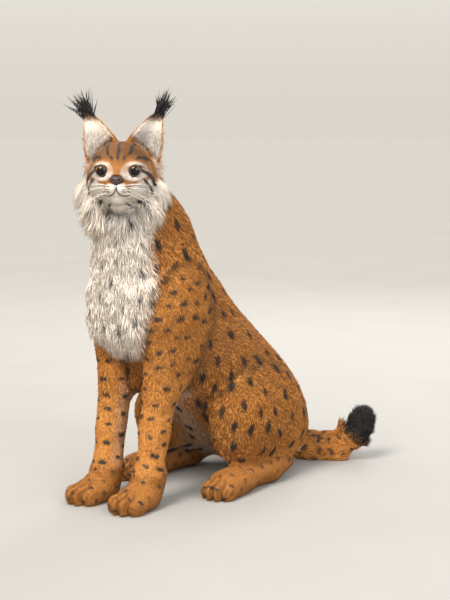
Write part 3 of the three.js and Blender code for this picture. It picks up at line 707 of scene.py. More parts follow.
# The opening between the lids, in the head's millimetres about each eye's middle, as seen from in front
lidShape = {
    "inner": (-13.5, -5.0),  # its corners, and the way that each lid bows
    "outer": (13.0, 4.0),
    "upperBow": (-5.0, 18.0),
    "lowerBow": (5.0, -17.0),
    "slant": 10,  # degrees
    "steps": 64,
    "edge": (0.94, 1.06),  # where the skin rises from behind the opening to round it, as shares of its size
    "fade": (1.85, 1.35),
    "front": (-1, -5),
    "standWithin": 14.0,  # how far the skin is from the eye's middle
    "standAround": 17.6,
    "leastDepth": 3.0,  # of the lid's surface in front of that middle
    # outward from the opening's edge, and how far the lid's own surface is from the eye's middle
    "profile": [(-0.5, 14.8), (-0.2, 16.2), (0.3, 17.3), (1.1, 18.0), (2.0, 17.9), (2.9, 16.9)],
}


def almondLine():
    inner, outer = np.array(lidShape["inner"]), np.array(lidShape["outer"])
    upper, lower = np.array(lidShape["upperBow"]), np.array(lidShape["lowerBow"])
    turn = math.radians(lidShape["slant"])
    half = lidShape["steps"] // 2
    line = []
    for first, bow, last in ((inner, upper, outer), (outer, lower, inner)):
        for step in range(half):
            t = step / half
            u, w = first * (1 - t) ** 2 + bow * 2 * t * (1 - t) + last * t * t
            line.append((u * math.cos(turn) - w * math.sin(turn), u * math.sin(turn) + w * math.cos(turn)))
    return np.array(line)


def almondReach(u, w):
    # how far out a place is from the eye's middle, as a share of the way to the lids' edge
    line = almondLine()
    around = np.arctan2(line[:, 1], line[:, 0])
    order = np.argsort(around)
    radii = np.hypot(line[:, 0], line[:, 1])[order]
    edge = np.interp(np.arctan2(w, u), around[order], radii, period=2 * math.pi)
    return np.hypot(u, w) / edge


def openEyes():
    # the skin stands just off each eyeball round the opening, and lies behind its surface within the opening
    head = local(headFrame, pointsOf(skin))
    for side in (1, -1):
        apart = head - onSide(side, animal["eye"])
        radius = np.maximum(np.linalg.norm(apart, axis=1), 1e-6)
        reach = almondReach(side * apart[:, 0], apart[:, 2])
        climb = lidShape["standAround"] - lidShape["standWithin"]
        lid = lidShape["standWithin"] + climb * smoothStep(*lidShape["edge"], reach)
        share = smoothStep(*lidShape["fade"], reach) * smoothStep(*lidShape["front"], apart[:, 1])
        head += apart * (share * (lid / radius - 1))[:, None]
    setPoints(skin, fromLocal(headFrame, head))


noseSink = {"depth": 0.007, "edge": (1.3, 1.02)}  # metres, and where it fades, as shares of the nose's size


def sinkNose():
    # the skin behind the nose leather lies well inside it, so that none shows in the nostrils
    points = pointsOf(skin)
    apart = (local(headFrame, points) - np.array(animal["nose"])) / np.array(animal["noseHalf"])
    share = smoothStep(*noseSink["edge"], np.linalg.norm(apart, axis=1))
    points += turned(headFrame, [(0, 1, 0)]) * (noseSink["depth"] * share)[:, None]
    setPoints(skin, points)


letInSkin()
openEyes()
sinkNose()
print("skin let in under the coat")


# The lie of the coat: nearby lengths of body each give the way their hair runs

bodyFlow = [  # start, end, way of the hair, in the body's millimetres, for the middle and the left
    ((12, -150, 650), (0, -80, 540), (0, 0.5, -0.85)),
    ((0, -60, 520), (0, 230, 200), (0, 0.62, -0.78)),
    ((92, -40, 380), (104, 130, 230), (0, 0.7, -0.72)),
    ((0, -250, 610), (0, -240, 330), (0, 0.1, -1)),
    ((70, -190, 560), (92, -170, 470), (0.15, 0.25, -1)),
    ((84, -150, 470), (64, -180, 160), (0, 0, -1)),
    ((61, -200, 150), (60, -206, 70), (0, -0.15, -1)),
    ((60, -225, 50), (60, -300, 30), (0, -1, -0.45)),
    ((60, -300, 24), (60, -335, 10), (0, -0.6, -1)),
    ((120, 150, 240), (150, 90, 110), (0, 0.25, -1)),
    ((130, -10, 200), (130, -30, 100), (0, -0.3, -1)),
    ((112, 168, 50), (122, -40, 40), (0, -1, -0.2)),
    ((128, -60, 30), (130, -90, 14), (0, -0.7, -0.9)),
    ((0, -20, 240), (0, 130, 70), (0, 0.8, -0.45)),
    ((0, 262, 170), (0, 280, 90), (0, 0.25, -1)),
    ((0, 280, 82), (20, 316, 48), (0.5, 0.8, -0.5)),
    ((20, 316, 48), (62, 356, 32), (0.72, 0.68, -0.2)),
    ((62, 356, 32), (112, 388, 34), (0.84, 0.54, 0.06)),
    ((112, 388, 34), (150, 408, 66), (0.7, 0.4, 0.6)),
    ((150, 408, 66), (164, 414, 110), (0.3, 0.15, 0.94)),
]
flowLook = {
    "offMiddle": 50,  # a length that starts further to the left than this is on the right too, up to the tail
    "tailStart": 300,
    "softness": 200,
    # the rest is for the head, in its own millimetres
    "source": (0, -108, 4),  # hair runs away from here over the face
    "back": 0.45,
    "cheekSide": (30, 62),
    "cheekHeight": (26, 0),
    "cheekWay": (0.25, 0.1, -0.8),
    "chinHeight": (-34, -50),
    "chinWay": (0, 0.5, -0.5),
    "eyeReach": (32, 20),
    "eyeOutward": 0.35,
    "earWay": (0.44, 0.1, 0.9),
    "ruffWay": (0.35, 0.25, -1),
    "blend": 8,
}


def bodyLie(body):
    total = np.zeros_like(body)
    for start, end, way in bodyFlow:
        paired = abs(start[0]) > flowLook["offMiddle"] and start[1] < flowLook["tailStart"]
        for side in ((1, -1) if paired else (1,)):
            first, last, direction = (onSide(side, v) for v in (start, end, way))
            along = last - first
            share = np.clip((body - first) @ along / (along @ along), 0, 1)
            apart = np.linalg.norm(body - first - share[:, None] * along, axis=1)
            weight = (apart[:, None] ** 2 + flowLook["softness"]) ** 2
            total += (direction / np.linalg.norm(direction)) / weight
    return unit(total)


def headLie(head):
    # hair runs away from the nose over the face, parts round the eyes, and runs down the cheeks into the ruff
    x, y, z = head.T
    way = unit(head - np.array(flowLook["source"]))
    way[:, 1] += flowLook["back"]
    cheek = smoothStep(*flowLook["cheekSide"], np.abs(x)) * smoothStep(*flowLook["cheekHeight"], z)
    way += cheek[:, None] * onBothSides(flowLook["cheekWay"], head)
    chin = smoothStep(*flowLook["chinHeight"], z)
    way += chin[:, None] * np.array(flowLook["chinWay"])
    for side in (1, -1):
        outward = head - onSide(side, animal["eye"])
        near = smoothStep(*flowLook["eyeReach"], np.linalg.norm(outward, axis=1))
        outward = unit(outward)
        inward = np.minimum(np.sum(way * outward, axis=1), 0)
        way += outward * (near * (flowLook["eyeOutward"] - inward))[:, None]
    return unit(way)


def coatLie():
    points, normals = pointsOf(skin), normalsOf(skin)
    head = local(headFrame, points)
    onFace = shareOf("face")[:, None]
    onEar = shareOf("earBack", "earCup")[:, None]
    onRuff = shareOf("ruff")[:, None]
    lie = bodyLie(local(bodyFrame, points)) * (1 - onFace - onEar - onRuff)
    lie += onFace * turned(headFrame, headLie(head))
    lie += onEar * turned(headFrame, unit(onBothSides(flowLook["earWay"], head)))
    lie += onRuff * turned(headFrame, onBothSides(flowLook["ruffWay"], head))
    lie = spreadOut(lie, edges, flowLook["blend"])
    lie -= normals * np.sum(lie * normals, axis=1, keepdims=True)
    return unit(lie)


lie = coatLie()
print("lie of the coat found")


# Markings and painted shade, the same for the skin and the tufts that grow from it

spotKinds = [  # regions, spacing, half length, half width, whether they lie across the hair; millimetres
    (("torso", "neck"), 42, 12.5, 7.2, False),
    (("thigh",), 40, 12.5, 7.0, False),
    (("foreleg",), 27, 9.5, 4.6, True),
    (("hindFoot", "forepaw"), 25, 6.5, 3.4, True),
    (("bib",), 36, 8, 5.4, False),
    (("tail",), 24, 12, 5, True),
]
spotLook = {
    "within": 0.7,  # the least share of its region where a spot may lie
    "palest": 0.5,  # outside the bib, no spot lies where the coat is paler than this
    "tries": 9000,
    "tilt": 0.35,  # radians either way
    "sizes": (0.72, 1.2),
    "edge": (1.15, 0.8),  # where a spot fades, as shares of its size
    "raggedness": (7, 0.09),  # millimetres from notch to notch, and how deep they are
    "strokeEdge": (1.25, 0.7),  # where the face's strokes fade, as shares of their half width
    "strokeFront": (30, 10),
    "strokeFacing": (-0.25, 0.0),
}


def strewSpots():
    # spots far enough apart, each with its place, way and half sizes
    points, normals = pointsOf(skin), normalsOf(skin)
    body = local(bodyFrame, points)
    pale = paleShare(points, normals, shares)
    spots = []
    for names, spacing, long, wide, across in spotKinds:
        brown = (pale < spotLook["palest"]) | (names[0] == "bib")
        candidates = np.nonzero((shareOf(*names) > spotLook["within"]) & brown)[0]
        chance.shuffle(candidates)
        kept = np.empty((0, 3))
        for i in candidates[:spotLook["tries"]]:
            if len(kept) and np.min(np.linalg.norm(kept - body[i], axis=1)) < spacing:
                continue
            kept = np.vstack([kept, body[i]])
            way = np.cross(normals[i], lie[i]) if across else lie[i]
            tilt = chance.uniform(-spotLook["tilt"], spotLook["tilt"])
            other = np.cross(normals[i], way)
            way = unit(way * math.cos(tilt) + other * math.sin(tilt))
            size = chance.uniform(*spotLook["sizes"])
            halves = (long * size / 1000, wide * size / 1000)
            spots.append((points[i], way, np.cross(normals[i], way), *halves))
    return spots


# Strokes on the face as [x, z] points from in front, in the head's millimetres, with their half width
faceStrokes = [
    ([(0, 34), (0, 46), (0, 58), (0, 66)], 2.4),
    ([(17, 40), (22, 52), (25, 64)], 2.6),
    ([(11, 34), (12, 35)], 3.0),
    ([(33, 35), (42, 36), (50, 30)], 2.2),
    ([(43, 14), (51, 8), (57, -2), (60, -12)], 2.8),
    ([(46, -2), (54, -14), (57, -26)], 2.0),
    ([(34, -42), (44, -48), (54, -47)], 3.0),
    ([(50, -62), (60, -70), (66, -68)], 3.0),
    ([(14, -46), (20, -50)], 1.8),
]

whiskerLook = {  # the roots' places are in the head's millimetres
    "rows": 3,
    "inRow": 4,
    "first": (12, -106, -14),
    "step": (3.2, 5.5),  # to the side and back from each root to the next
    "rowStep": 4.6,  # down to the next row
    "dot": 1.25,  # half the width of the small dark mark at each root
    "length": 68,
    "shortest": 0.62,  # the first of a row, as a share of the length, and how much longer each next one is
    "lengthStep": 0.13,
    "lengths": (0.85, 1.05),  # shares of that, by chance
    "rise": 0.16,  # the slope of the first row, and how much less it is in each row below
    "rowFall": 0.2,
    "riseChange": 0.06,  # by chance
    "back": 0.05,
    "backStep": 0.2,
    "sweep": 0.34,  # how far the tip bends back and down, as shares of the length
    "droop": 0.3,
    "radius": 0.0004,  # metres, at the root
    "thinning": 0.82,
    "stops": 8,
    "toneSize": 11.1,  # millimetres from one tone to the next along the hair
    "tints": ("#f7f2e8", "#d8cfc0"),
}


def whiskerRoots():
    # the left side's rows of roots
    side, front, height = whiskerLook["first"]
    out, back = whiskerLook["step"]
    rows = []
    for row in range(whiskerLook["rows"]):
        z = height - whiskerLook["rowStep"] * row
        rows.append([(side + out * i, front + back * i, z) for i in range(whiskerLook["inRow"])])
    return rows


for whiskerRow in whiskerRoots():
    faceStrokes += [([(x, z), (x + 0.4, z)], whiskerLook["dot"]) for x, _, z in whiskerRow]


def strokeShare(head, facing):
    x, y, z = head.T
    outer, inner = spotLook["strokeEdge"]
    found = np.zeros(len(head))
    for stroke, half in faceStrokes:
        for (x0, z0), (x1, z1) in zip(stroke, stroke[1:]):
            along = np.array((x1 - x0, z1 - z0), float)
            flat = np.stack([np.abs(x) - x0, z - z0], axis=1)
            share = np.clip(flat @ along / (along @ along), 0, 1)
            apart = np.linalg.norm(flat - share[:, None] * along, axis=1)
            found = np.maximum(found, smoothStep(half * outer, half * inner, apart))
    front = smoothStep(*spotLook["strokeFront"], y) * smoothStep(*spotLook["strokeFacing"], facing)
    return found * front


def jagged(points, size, strength):
    # a cheap uneven edge from crossed waves; the size is in millimetres
    x, y, z = (points * 1000 / size).T
    waves = np.sin(x * 2.1 + 1.7 * np.sin(z)) + np.sin(y * 1.7 + z * 2.3) + np.sin(z * 3.1 - x * 1.3 + y)
    return strength * waves / 3


paleShape = {  # in the head's millimetres
    "line": -3,  # the face is cream below this height, and lower under the eyes
    "dip": 13,
    "dipSide": 24,
    "dipHalf": 13,
    "softness": 3,
    "raggedness": (9, 2.0),
    "muzzleLine": -10,  # and below this one at the front of the muzzle
    "muzzleFront": -84,
    "muzzleSide": 16,
    "front": (28, 4),
    "eyePatch": (30, 12),  # across and up
    "eyePatchHalf": (23, 17),
    "patchEdge": (1.12, 0.9),
    "patchPale": (0.35, 0.5, 0.35),  # beside the eye, and how much more under it and over it
    "patchUnder": (16, 6),
    "patchOver": (20, 26),
    "cupEdge": (0.74, 0.94),
    "cupTop": (112, 100),
    "throat": (0, -34, -92),
    "throatHalf": (64, 58, 74),
    "throatEdge": (1.15, 0.85),
    "throatRaggedness": (11, 0.12),
    "belly": 0.56,  # how much paler the belly and the insides of the legs are
    "bellyThigh": 0.5,
    "bellyFacing": (-0.6, -0.9),  # the belly faces down, and the insides of the legs face each other
    "innerForeleg": 0.15,
    "innerThigh": 0.3,
    "innerFacing": (0.8, 1.0),
    "ruff": 0.95,
    "ruffBack": 0.75,  # how much less pale the ruff is where it faces back
    "ruffFacing": (-0.1, -0.6),
}


def paleFace(points, x, y, z):
    # cream on the lower face, with a patch about each eye that is palest under it and above it
    shape = paleShape
    across = np.abs(x)
    dip = shape["dip"] * np.exp(-((across - shape["dipSide"]) / shape["dipHalf"]) ** 2)
    edge = shape["line"] - dip + jagged(points, *shape["raggedness"])
    onMuzzle = (y < shape["muzzleFront"]) & (across < shape["muzzleSide"])
    edge = np.where(onMuzzle, shape["muzzleLine"], edge)
    face = smoothStep(edge + shape["softness"], edge - shape["softness"], z)
    (eyeSide, eyeUp), (halfSide, halfUp) = shape["eyePatch"], shape["eyePatchHalf"]
    apart = np.hypot((across - eyeSide) / halfSide, (z - eyeUp) / halfUp)
    beside, under, over = shape["patchPale"]
    pale = beside + under * smoothStep(*shape["patchUnder"], z) + over * smoothStep(*shape["patchOver"], z)
    return np.maximum(face, smoothStep(*shape["patchEdge"], apart) * pale)


def paleShare(points, normals, shares):
    head, body = local(headFrame, points), local(bodyFrame, points)
    shape = paleShape
    column = columnsOf(shares)
    facing = normals @ np.array(faceWay)
    x, y, z = head.T
    face = column["face"] * paleFace(points, x, y, z) * smoothStep(*shape["front"], y)
    cup = smoothStep(*shape["cupEdge"], column["earCup"]) * smoothStep(*shape["cupTop"], z)
    belly = column["torso"] + shape["bellyThigh"] * column["thigh"]
    belly = belly * smoothStep(*shape["bellyFacing"], normals[:, 2])
    innerFacing = -normals[:, 0] * np.sign(body[:, 0])
    inner = shape["innerForeleg"] * column["foreleg"] + shape["innerThigh"] * column["thigh"]
    inner = inner * smoothStep(*shape["innerFacing"], innerFacing)
    underJaw = np.linalg.norm((head - np.array(shape["throat"])) / np.array(shape["throatHalf"]), axis=1)
    underJaw += jagged(points, *shape["throatRaggedness"])
    throat = column["neck"] * smoothStep(*shape["throatEdge"], underJaw)
    ruff = column["ruff"] * (shape["ruff"] - shape["ruffBack"] * smoothStep(*shape["ruffFacing"], facing))
    total = face + cup + ruff + column["bib"] + shape["belly"] * belly + inner + throat
    return np.clip(total, 0, 1)


markLook = {
    "rimReach": (1.34, 1.18),  # where the dark rim of the lids fades, as shares of their opening
    "rimWithin": (22.5, 19),  # and in millimetres from the eye's middle
    "rimFront": -20,
    "earTip": (98, 114),  # heights in the head's millimetres where the ear turns black
    "earRaggedness": (8, 3),
    "cupPaintedShade": 0.5,  # how much darker painted shade makes the ear's hollow, the creases and the bib under the chin
    "cupHeight": (96, 58),
    "creasePaintedShade": 0.85,
    "bibPaintedShadow": 0.5,
    "bibHeight": (535, 585),  # in the body's millimetres, where the painted shadow under the chin falls
    "paintedShadeStrength": 0.6,
    "deepBack": 0.35,  # how much deeper the brown is along the back, on the feet and on the face
    "deepFeet": 0.5,
    "deepFace": 0.3,
    "backFacing": (0.2, 0.9),
}


def coatMarksAndShade(points, normals, shares, spots, depth=0.004):
    # red: dark spots and strokes, green: cream, blue: black, alpha: light, which painted shade lowers in the
    # toe gaps, the ear's cup, the creases and under the chin
    # depth is how far off the skin a spot still shows
    head = local(headFrame, points)
    column = columnsOf(shares)
    dark = np.zeros(len(points))
    for centre, way, other, long, wide in spots:
        close = np.nonzero(np.max(np.abs(points - centre), axis=1) < long * 1.4 + depth)[0]
        apart = points[close] - centre
        reach = np.sqrt((apart @ way / long) ** 2 + (apart @ other / wide) ** 2)
        reach = reach + jagged(points[close], *spotLook["raggedness"])
        dark[close] = np.maximum(dark[close], smoothStep(*spotLook["edge"], reach))
    onHead = column["face"] + column["ruff"]
    dark = np.maximum(dark * (1 - onHead), onHead * strokeShare(head, normals @ np.array(faceWay)))
    x, y, z = head.T
    lidRim = almondReach(np.abs(x) - animal["eye"][0], z - animal["eye"][2])
    fromEye = np.linalg.norm(folded(head) - np.array(animal["eye"]), axis=1)
    rim = smoothStep(*markLook["rimReach"], lidRim) * smoothStep(*markLook["rimWithin"], fromEye)
    dark = np.maximum(dark, column["face"] * rim * (y < markLook["rimFront"]))
    ear = column["earBack"] + column["earCup"]
    earTip = ear * smoothStep(*markLook["earTip"], z + jagged(points, *markLook["earRaggedness"]))
    black = np.clip(column["tailTip"] + earTip, 0, 1)
    # painted shade: the coat darkens in the gaps between the toes, at the foot of the ear's cup, in the
    # creases where the legs meet the trunk and on the bib under the chin; light is how much of its colour is
    # left
    creases = np.clip(4 * (column["thigh"] + column["foreleg"]) * column["torso"], 0, 1)
    underChin = smoothStep(*markLook["bibHeight"], local(bodyFrame, points)[:, 2])
    paintedShade = np.maximum.reduce([
        toeReach(points)[1],
        markLook["cupPaintedShade"] * column["earCup"] * smoothStep(*markLook["cupHeight"], z),
        markLook["creasePaintedShade"] * creases ** 2,
        markLook["bibPaintedShadow"] * column["bib"] * underChin,
    ])
    light = 1 - markLook["paintedShadeStrength"] * paintedShade
    return np.stack([np.clip(dark, 0, 1), paleShare(points, normals, shares), black, light], axis=1)


def deepShare(normals, shares):
    # the brown is deeper along the back, and on the short hair of the face and feet
    column = columnsOf(shares)
    feet = column["forepaw"] + column["hindFoot"]
    back = smoothStep(*markLook["backFacing"], normals[:, 2]) * (1 - feet)
    return markLook["deepBack"] * back + markLook["deepFeet"] * feet + markLook["deepFace"] * column["face"]


spots = strewSpots()
skinMarksAndShade = coatMarksAndShade(pointsOf(skin), normalsOf(skin), shares, spots)
storeAttribute(skin.data, "coatMarksAndShade", skinMarksAndShade)
skinTone = np.tile([0.3, 0.12, 0.5, 1.0], (len(skinMarksAndShade), 1))
skinTone[:, 1] += deepShare(normalsOf(skin), shares)  # the brown is as deep as in a middling tuft
storeAttribute(skin.data, "coatTone", skinTone)
skin.data.materials.append(skinFur)
print("markings:", len(spots), "spots")


def unwrapSkin():
    layer = skin.data.uv_layers.new(name="OFBake").name
    editWhole(skin, bpy.ops.uv.smart_project, angle_limit=math.radians(66), island_margin=0.002)
    return numbersOf(skin.data.uv_layers[layer].data, "uv", 2, np.float32)


def skinTriangles():
    # each triangle's vertices, and its corners in the map
    skin.data.calc_loop_triangles()
    return [numbersOf(skin.data.loop_triangles, key, 3, np.int32) for key in ("vertices", "loops")]


skinUv = unwrapSkin()
triangleCorners, triangleLoops = skinTriangles()
print("skin unwrapped,", len(triangleCorners), "triangles")


# Tufts: each is a small closed spike of hair that rises from the skin and lies back along the coat

tuftLook = {
    "shapes": {  # stops along the hair with their share of the width
        "spike": [(0.0, 1.0)],
        "short": [(0.0, 0.8), (0.5, 1.0)],
        "long": [(0.0, 0.7), (0.34, 1.0), (0.68, 0.75)],
    },
    "swing": 0.17,  # radians that each tuft turns aside by chance
    "lockSize": 15,  # millimetres across a lock of tufts that turn aside together
    "lockSwing": 0.3,
    "lengths": (0.72, 1.15),  # shares of the region's own
    "widths": (0.75, 1.2),
    "stands": (0.6, 1.35),
    "curl": 0.1,
    "thickness": 0.9,
    "sink": 0.0012,  # metres of the hair's foot under the skin, but no more than a share of its length
    "sinkShare": 0.25,
    "deepChange": 0.25,
    "mapHalf": 0.0014,  # half a tuft's size on the map
    "triangles": 190000,  # at most, in each piece of the coat
    "quickShare": 0.12,
}


def tuftRoots(regions, density=1.0):
    # places on the skin's triangles, as many as the regions there ask for
    points, normals = pointsOf(skin), normalsOf(skin)
    first, second, third = (points[triangleCorners[:, k]] for k in range(3))
    area = np.linalg.norm(np.cross(second - first, third - first), axis=1) / 2 * 1e4  # in square centimetres
    faceShare = shareOf(*regions)[triangleCorners].mean(axis=1)
    wanted = regionValue("tufts")[triangleCorners].mean(axis=1) * faceShare * area * density
    number = np.floor(wanted + chance.random_sample(len(wanted))).astype(int)
    faces = np.repeat(np.arange(len(triangleCorners)), number)
    u, v = chance.random_sample((2, len(faces)))
    outside = u + v > 1
    u, v = np.where(outside, 1 - u, u), np.where(outside, 1 - v, v)
    weights = np.stack([1 - u - v, u, v], axis=1)[:, :, None]
    corners = triangleCorners[faces]

    def blend(values):
        values = values.reshape(len(values), -1)
        return (values[corners] * weights).sum(axis=1)

    return {
        "point": blend(points),
        "normal": unit(blend(normals)),
        "lie": unit(blend(lie)),
        "shares": blend(shares),
        "uv": (skinUv[triangleLoops[faces]] * weights).sum(axis=1),
        "length": blend(regionValue("length"))[:, 0] / 1000,
        "width": blend(regionValue("width"))[:, 0] / 1000,
        "stand": np.radians(blend(regionValue("stand"))[:, 0]),
    }


def keepRoots(roots, keep):
    return {key: value[keep] for key, value in roots.items()}


def shapeTufts(roots, stops, droop, fall):
    # every tuft's corners from foot to tip, with how far along the hair each lies and where it is on the map
    count = len(roots["point"])
    normal, along = roots["normal"], roots["lie"]
    together = jagged(roots["point"], tuftLook["lockSize"], tuftLook["lockSwing"])
    swing = chance.normal(0, tuftLook["swing"], count) + together
    side = np.cross(normal, along)
    along = unit(along * np.cos(swing)[:, None] + side * np.sin(swing)[:, None])
    side = np.cross(normal, along)
    length = roots["length"] * chance.uniform(*tuftLook["lengths"], count)
    width = roots["width"] * chance.uniform(*tuftLook["widths"], count)
    stand = roots["stand"] * chance.uniform(*tuftLook["stands"], count)
    curl = chance.normal(0, tuftLook["curl"], count)
    down = np.array((0.0, 0.0, -1.0))
    sink = np.minimum(tuftLook["sink"], tuftLook["sinkShare"] * length)

    def centre(t):
        rise = np.sin(stand) * (t - droop * t * t)
        run = np.cos(stand) * t
        path = along * run[:, None] + normal * rise[:, None] + side * (curl * t * t)[:, None]
        foot = roots["point"] - normal * (sink * (1 - t))[:, None]
        return foot + (path + down * fall * t * t) * length[:, None]

    vertices, offsets, reach = [], [], []
    for t, share in stops:
        ahead = unit(centre(t + 0.05) - centre(t))
        up = unit(np.cross(ahead, side))
        up = np.where(np.sum(up * normal, axis=1, keepdims=True) < 0, -up, up)
        half = (width * share / 2)[:, None]
        middle = centre(t)
        vertices += [middle + side * half, middle + up * half * tuftLook["thickness"], middle - side * half]
        offsets += [(-1, 2 * t - 1), (0, 2 * t - 1), (1, 2 * t - 1)]
        reach += [t] * 3
    vertices.append(centre(1.0))
    offsets.append((0, 1))
    reach.append(1.0)
    vertices = np.stack(vertices, axis=1)
    vertices[:, :, 2] = np.maximum(vertices[:, :, 2], animal["lowestHair"])
    return vertices, np.array(reach), np.array(offsets) * tuftLook["mapHalf"]


def tuftFaces(rings):
    # a closed three-sided spike: its foot, its sides and its point
    faces = [(0, 2, 1)]
    for ring in range(rings - 1):
        for i in range(3):
            here, following = ring * 3 + i, ring * 3 + (i + 1) % 3
            faces.append((here, following, following + 3, here + 3))
    last = (rings - 1) * 3
    for i in range(3):
        faces.append((last + i, last + (i + 1) % 3, last + 3))
    return faces


def tuftMesh(name, vertices, faces, uv, attributes):
    amount, perTuft = vertices.shape[:2]
    mesh = bpy.data.meshes.new(name)
    mesh.vertices.add(amount * perTuft)
    mesh.vertices.foreach_set("co", vertices.astype(np.float32).ravel())
    corners = np.concatenate([np.array(face) for face in faces])
    loops = ((np.arange(amount) * perTuft)[:, None] + corners).ravel()
    sizes = np.tile([len(face) for face in faces], amount)
    starts = np.concatenate([[0], np.cumsum(sizes)[:-1]])
    mesh.loops.add(len(loops))
    mesh.loops.foreach_set("vertex_index", loops.astype(np.int32))
    mesh.polygons.add(len(sizes))
    mesh.polygons.foreach_set("loop_start", starts.astype(np.int32))
    mesh.polygons.foreach_set("use_smooth", np.ones(len(sizes), bool))
    mesh.update(calc_edges=True)
    layer = mesh.uv_layers.new(name="OFBake")
    layer.data.foreach_set("uv", uv.reshape(-1, 2)[loops].astype(np.float32).ravel())
    for key, values in attributes.items():
        storeAttribute(mesh, key, values.reshape(-1, 4))
    return mesh


def growTufts(name, roots, shape, slot, droop=0.6, fall=0.0, deepMarks=0.0):
    # with deepMarks, a tuft carries the marks where each part of it lies, up to that far off the skin, and
    # otherwise those at its root
    stops = tuftLook["shapes"][shape]
    faces = tuftFaces(len(stops))
    vertices, reach, offsets = shapeTufts(roots, stops, droop, fall)
    count, perTuft = vertices.shape[:2]
    if deepMarks:
        spread = [np.repeat(roots[key], perTuft, axis=0) for key in ("normal", "shares")]
        marksAndShade = coatMarksAndShade(vertices.reshape(-1, 3), *spread, spots, deepMarks).reshape(count, perTuft, 4)
    else:
        marksAndShade = coatMarksAndShade(roots["point"], roots["normal"], roots["shares"], spots)
        marksAndShade = np.repeat(marksAndShade[:, None, :], perTuft, axis=1)
    tones = np.ones((count, perTuft, 4))
    tones[:, :, 0] = reach
    tones[:, :, 2] = chance.random_sample(count)[:, None]
    deeper = chance.uniform(0, tuftLook["deepChange"], count)
    tones[:, :, 1] = np.clip(deepShare(roots["normal"], roots["shares"]) + deeper, 0, 1)[:, None]
    uv = roots["uv"][:, None, :] + offsets[None, :, :]
    triangles = len(stops) * 6 - 2
    pieces = []
    for begin in range(0, count, tuftLook["triangles"] // triangles):
        part = slice(begin, begin + tuftLook["triangles"] // triangles)
        attributes = {"coatMarksAndShade": marksAndShade[part], "coatTone": tones[part]}
        mesh = tuftMesh(f"{name}_{len(pieces) + 1}", vertices[part], faces, uv[part], attributes)
        mesh.materials.append(coatFur)
        piece = addToScene(mesh.name, mesh)
        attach(piece, "root")
        pieces.append(piece)
    print(name, count, "tufts,", count * triangles, "triangles")
    return pieces


# piece and region
bodyHair = {"coat_trunk": "torso", "coat_neck": "neck", "coat_thighs": "thigh", "coat_forelegs": "foreleg"}
bodyLayers = [  # end of the name, shape, share of the region's tufts
    ("", "short", 0.6),
    ("_under", "spike", 0.95),
]
bodyMarks = 0.012  # metres off the skin that the marks still show in the hair
feetMarks = 0.01
longHair = [  # name, region, slot, droop back to the skin, fall to the floor, how far off the skin marks show
    ("hair_ruff", "ruff", "pale_hair", 0.35, 0.25, 0.02),
    ("hair_bib", "bib", "pale_hair", 0.5, 0.2, 0.03),
    ("hair_tail_tip", "tailTip", "dark_hair", 0.35, 0.0, 0.0),
]


def growCoat():
    thin = 1.0
    for name, region in bodyHair.items():
        for ending, shape, share in bodyLayers:
            roots = taperLegHair(tuftRoots((region,), thin * share))
            growTufts(name + ending, roots, shape, "coat", deepMarks=bodyMarks)
    roots = taperLegHair(tuftRoots(("forepaw", "hindFoot"), thin))
    growTufts("coat_feet", roots, "spike", "coat", deepMarks=feetMarks)
    growTufts("coat_tail", tuftRoots(("tail",), thin), "short", "coat", deepMarks=bodyMarks)
    roots = fitFaceHair(tuftRoots(("face", "earBack", "earCup"), thin))
    longer = roots["length"] > faceHair["longer"]
    growTufts("coat_head", keepRoots(roots, ~longer), "spike", "coat")
    growTufts("coat_crown", keepRoots(roots, longer), "short", "coat")
    for name, region, *style in longHair:
        growTufts(name, tuftRoots((region,), thin), "long", *style)


legHair = {
    "heights": (340, 110),  # in the body's millimetres, where the foreleg's hair grows shorter and finer
    "shorter": 0.45,
    "finer": 0.25,
    "toeGaps": 0.5,  # how much shorter it is in the gaps between the toes
}


def taperLegHair(roots):
    # hair grows shorter down the foreleg to the paw, and shortest between the toes
    height = local(bodyFrame, roots["point"])[:, 2]
    low = columnsOf(roots["shares"])["foreleg"] * smoothStep(*legHair["heights"], height)
    gaps = toeReach(roots["point"])[1]
    roots["length"] = roots["length"] * (1 - legHair["shorter"] * low) * (1 - legHair["toeGaps"] * gaps)
    roots["width"] = roots["width"] * (1 - legHair["finer"] * low)
    return roots


faceHair = {  # places in the head's millimetres
    "front": -30,
    "muzzle": (-66, -92),
    "aroundEye": (26, 15),
    "shorter": 0.5,  # on the muzzle and round the eyes
    "behind": (-30, 20),
    "beside": (40, 58),
    "crownLonger": 0.6,  # behind and at the sides
    "chin": (-42, -60),
    "chinLonger": 2.2,
    "brow": (26, 46),
    "browLonger": 0.4,
    "cup": (88, 52),
    "cupLonger": 0.8,
    "longer": 0.0112,  # metres, from which a hair has a bend
    "noseGap": 1.05,
    "lidGap": 1.16,
    "thinned": 0.35,  # share of the longer hair behind that is left out
}


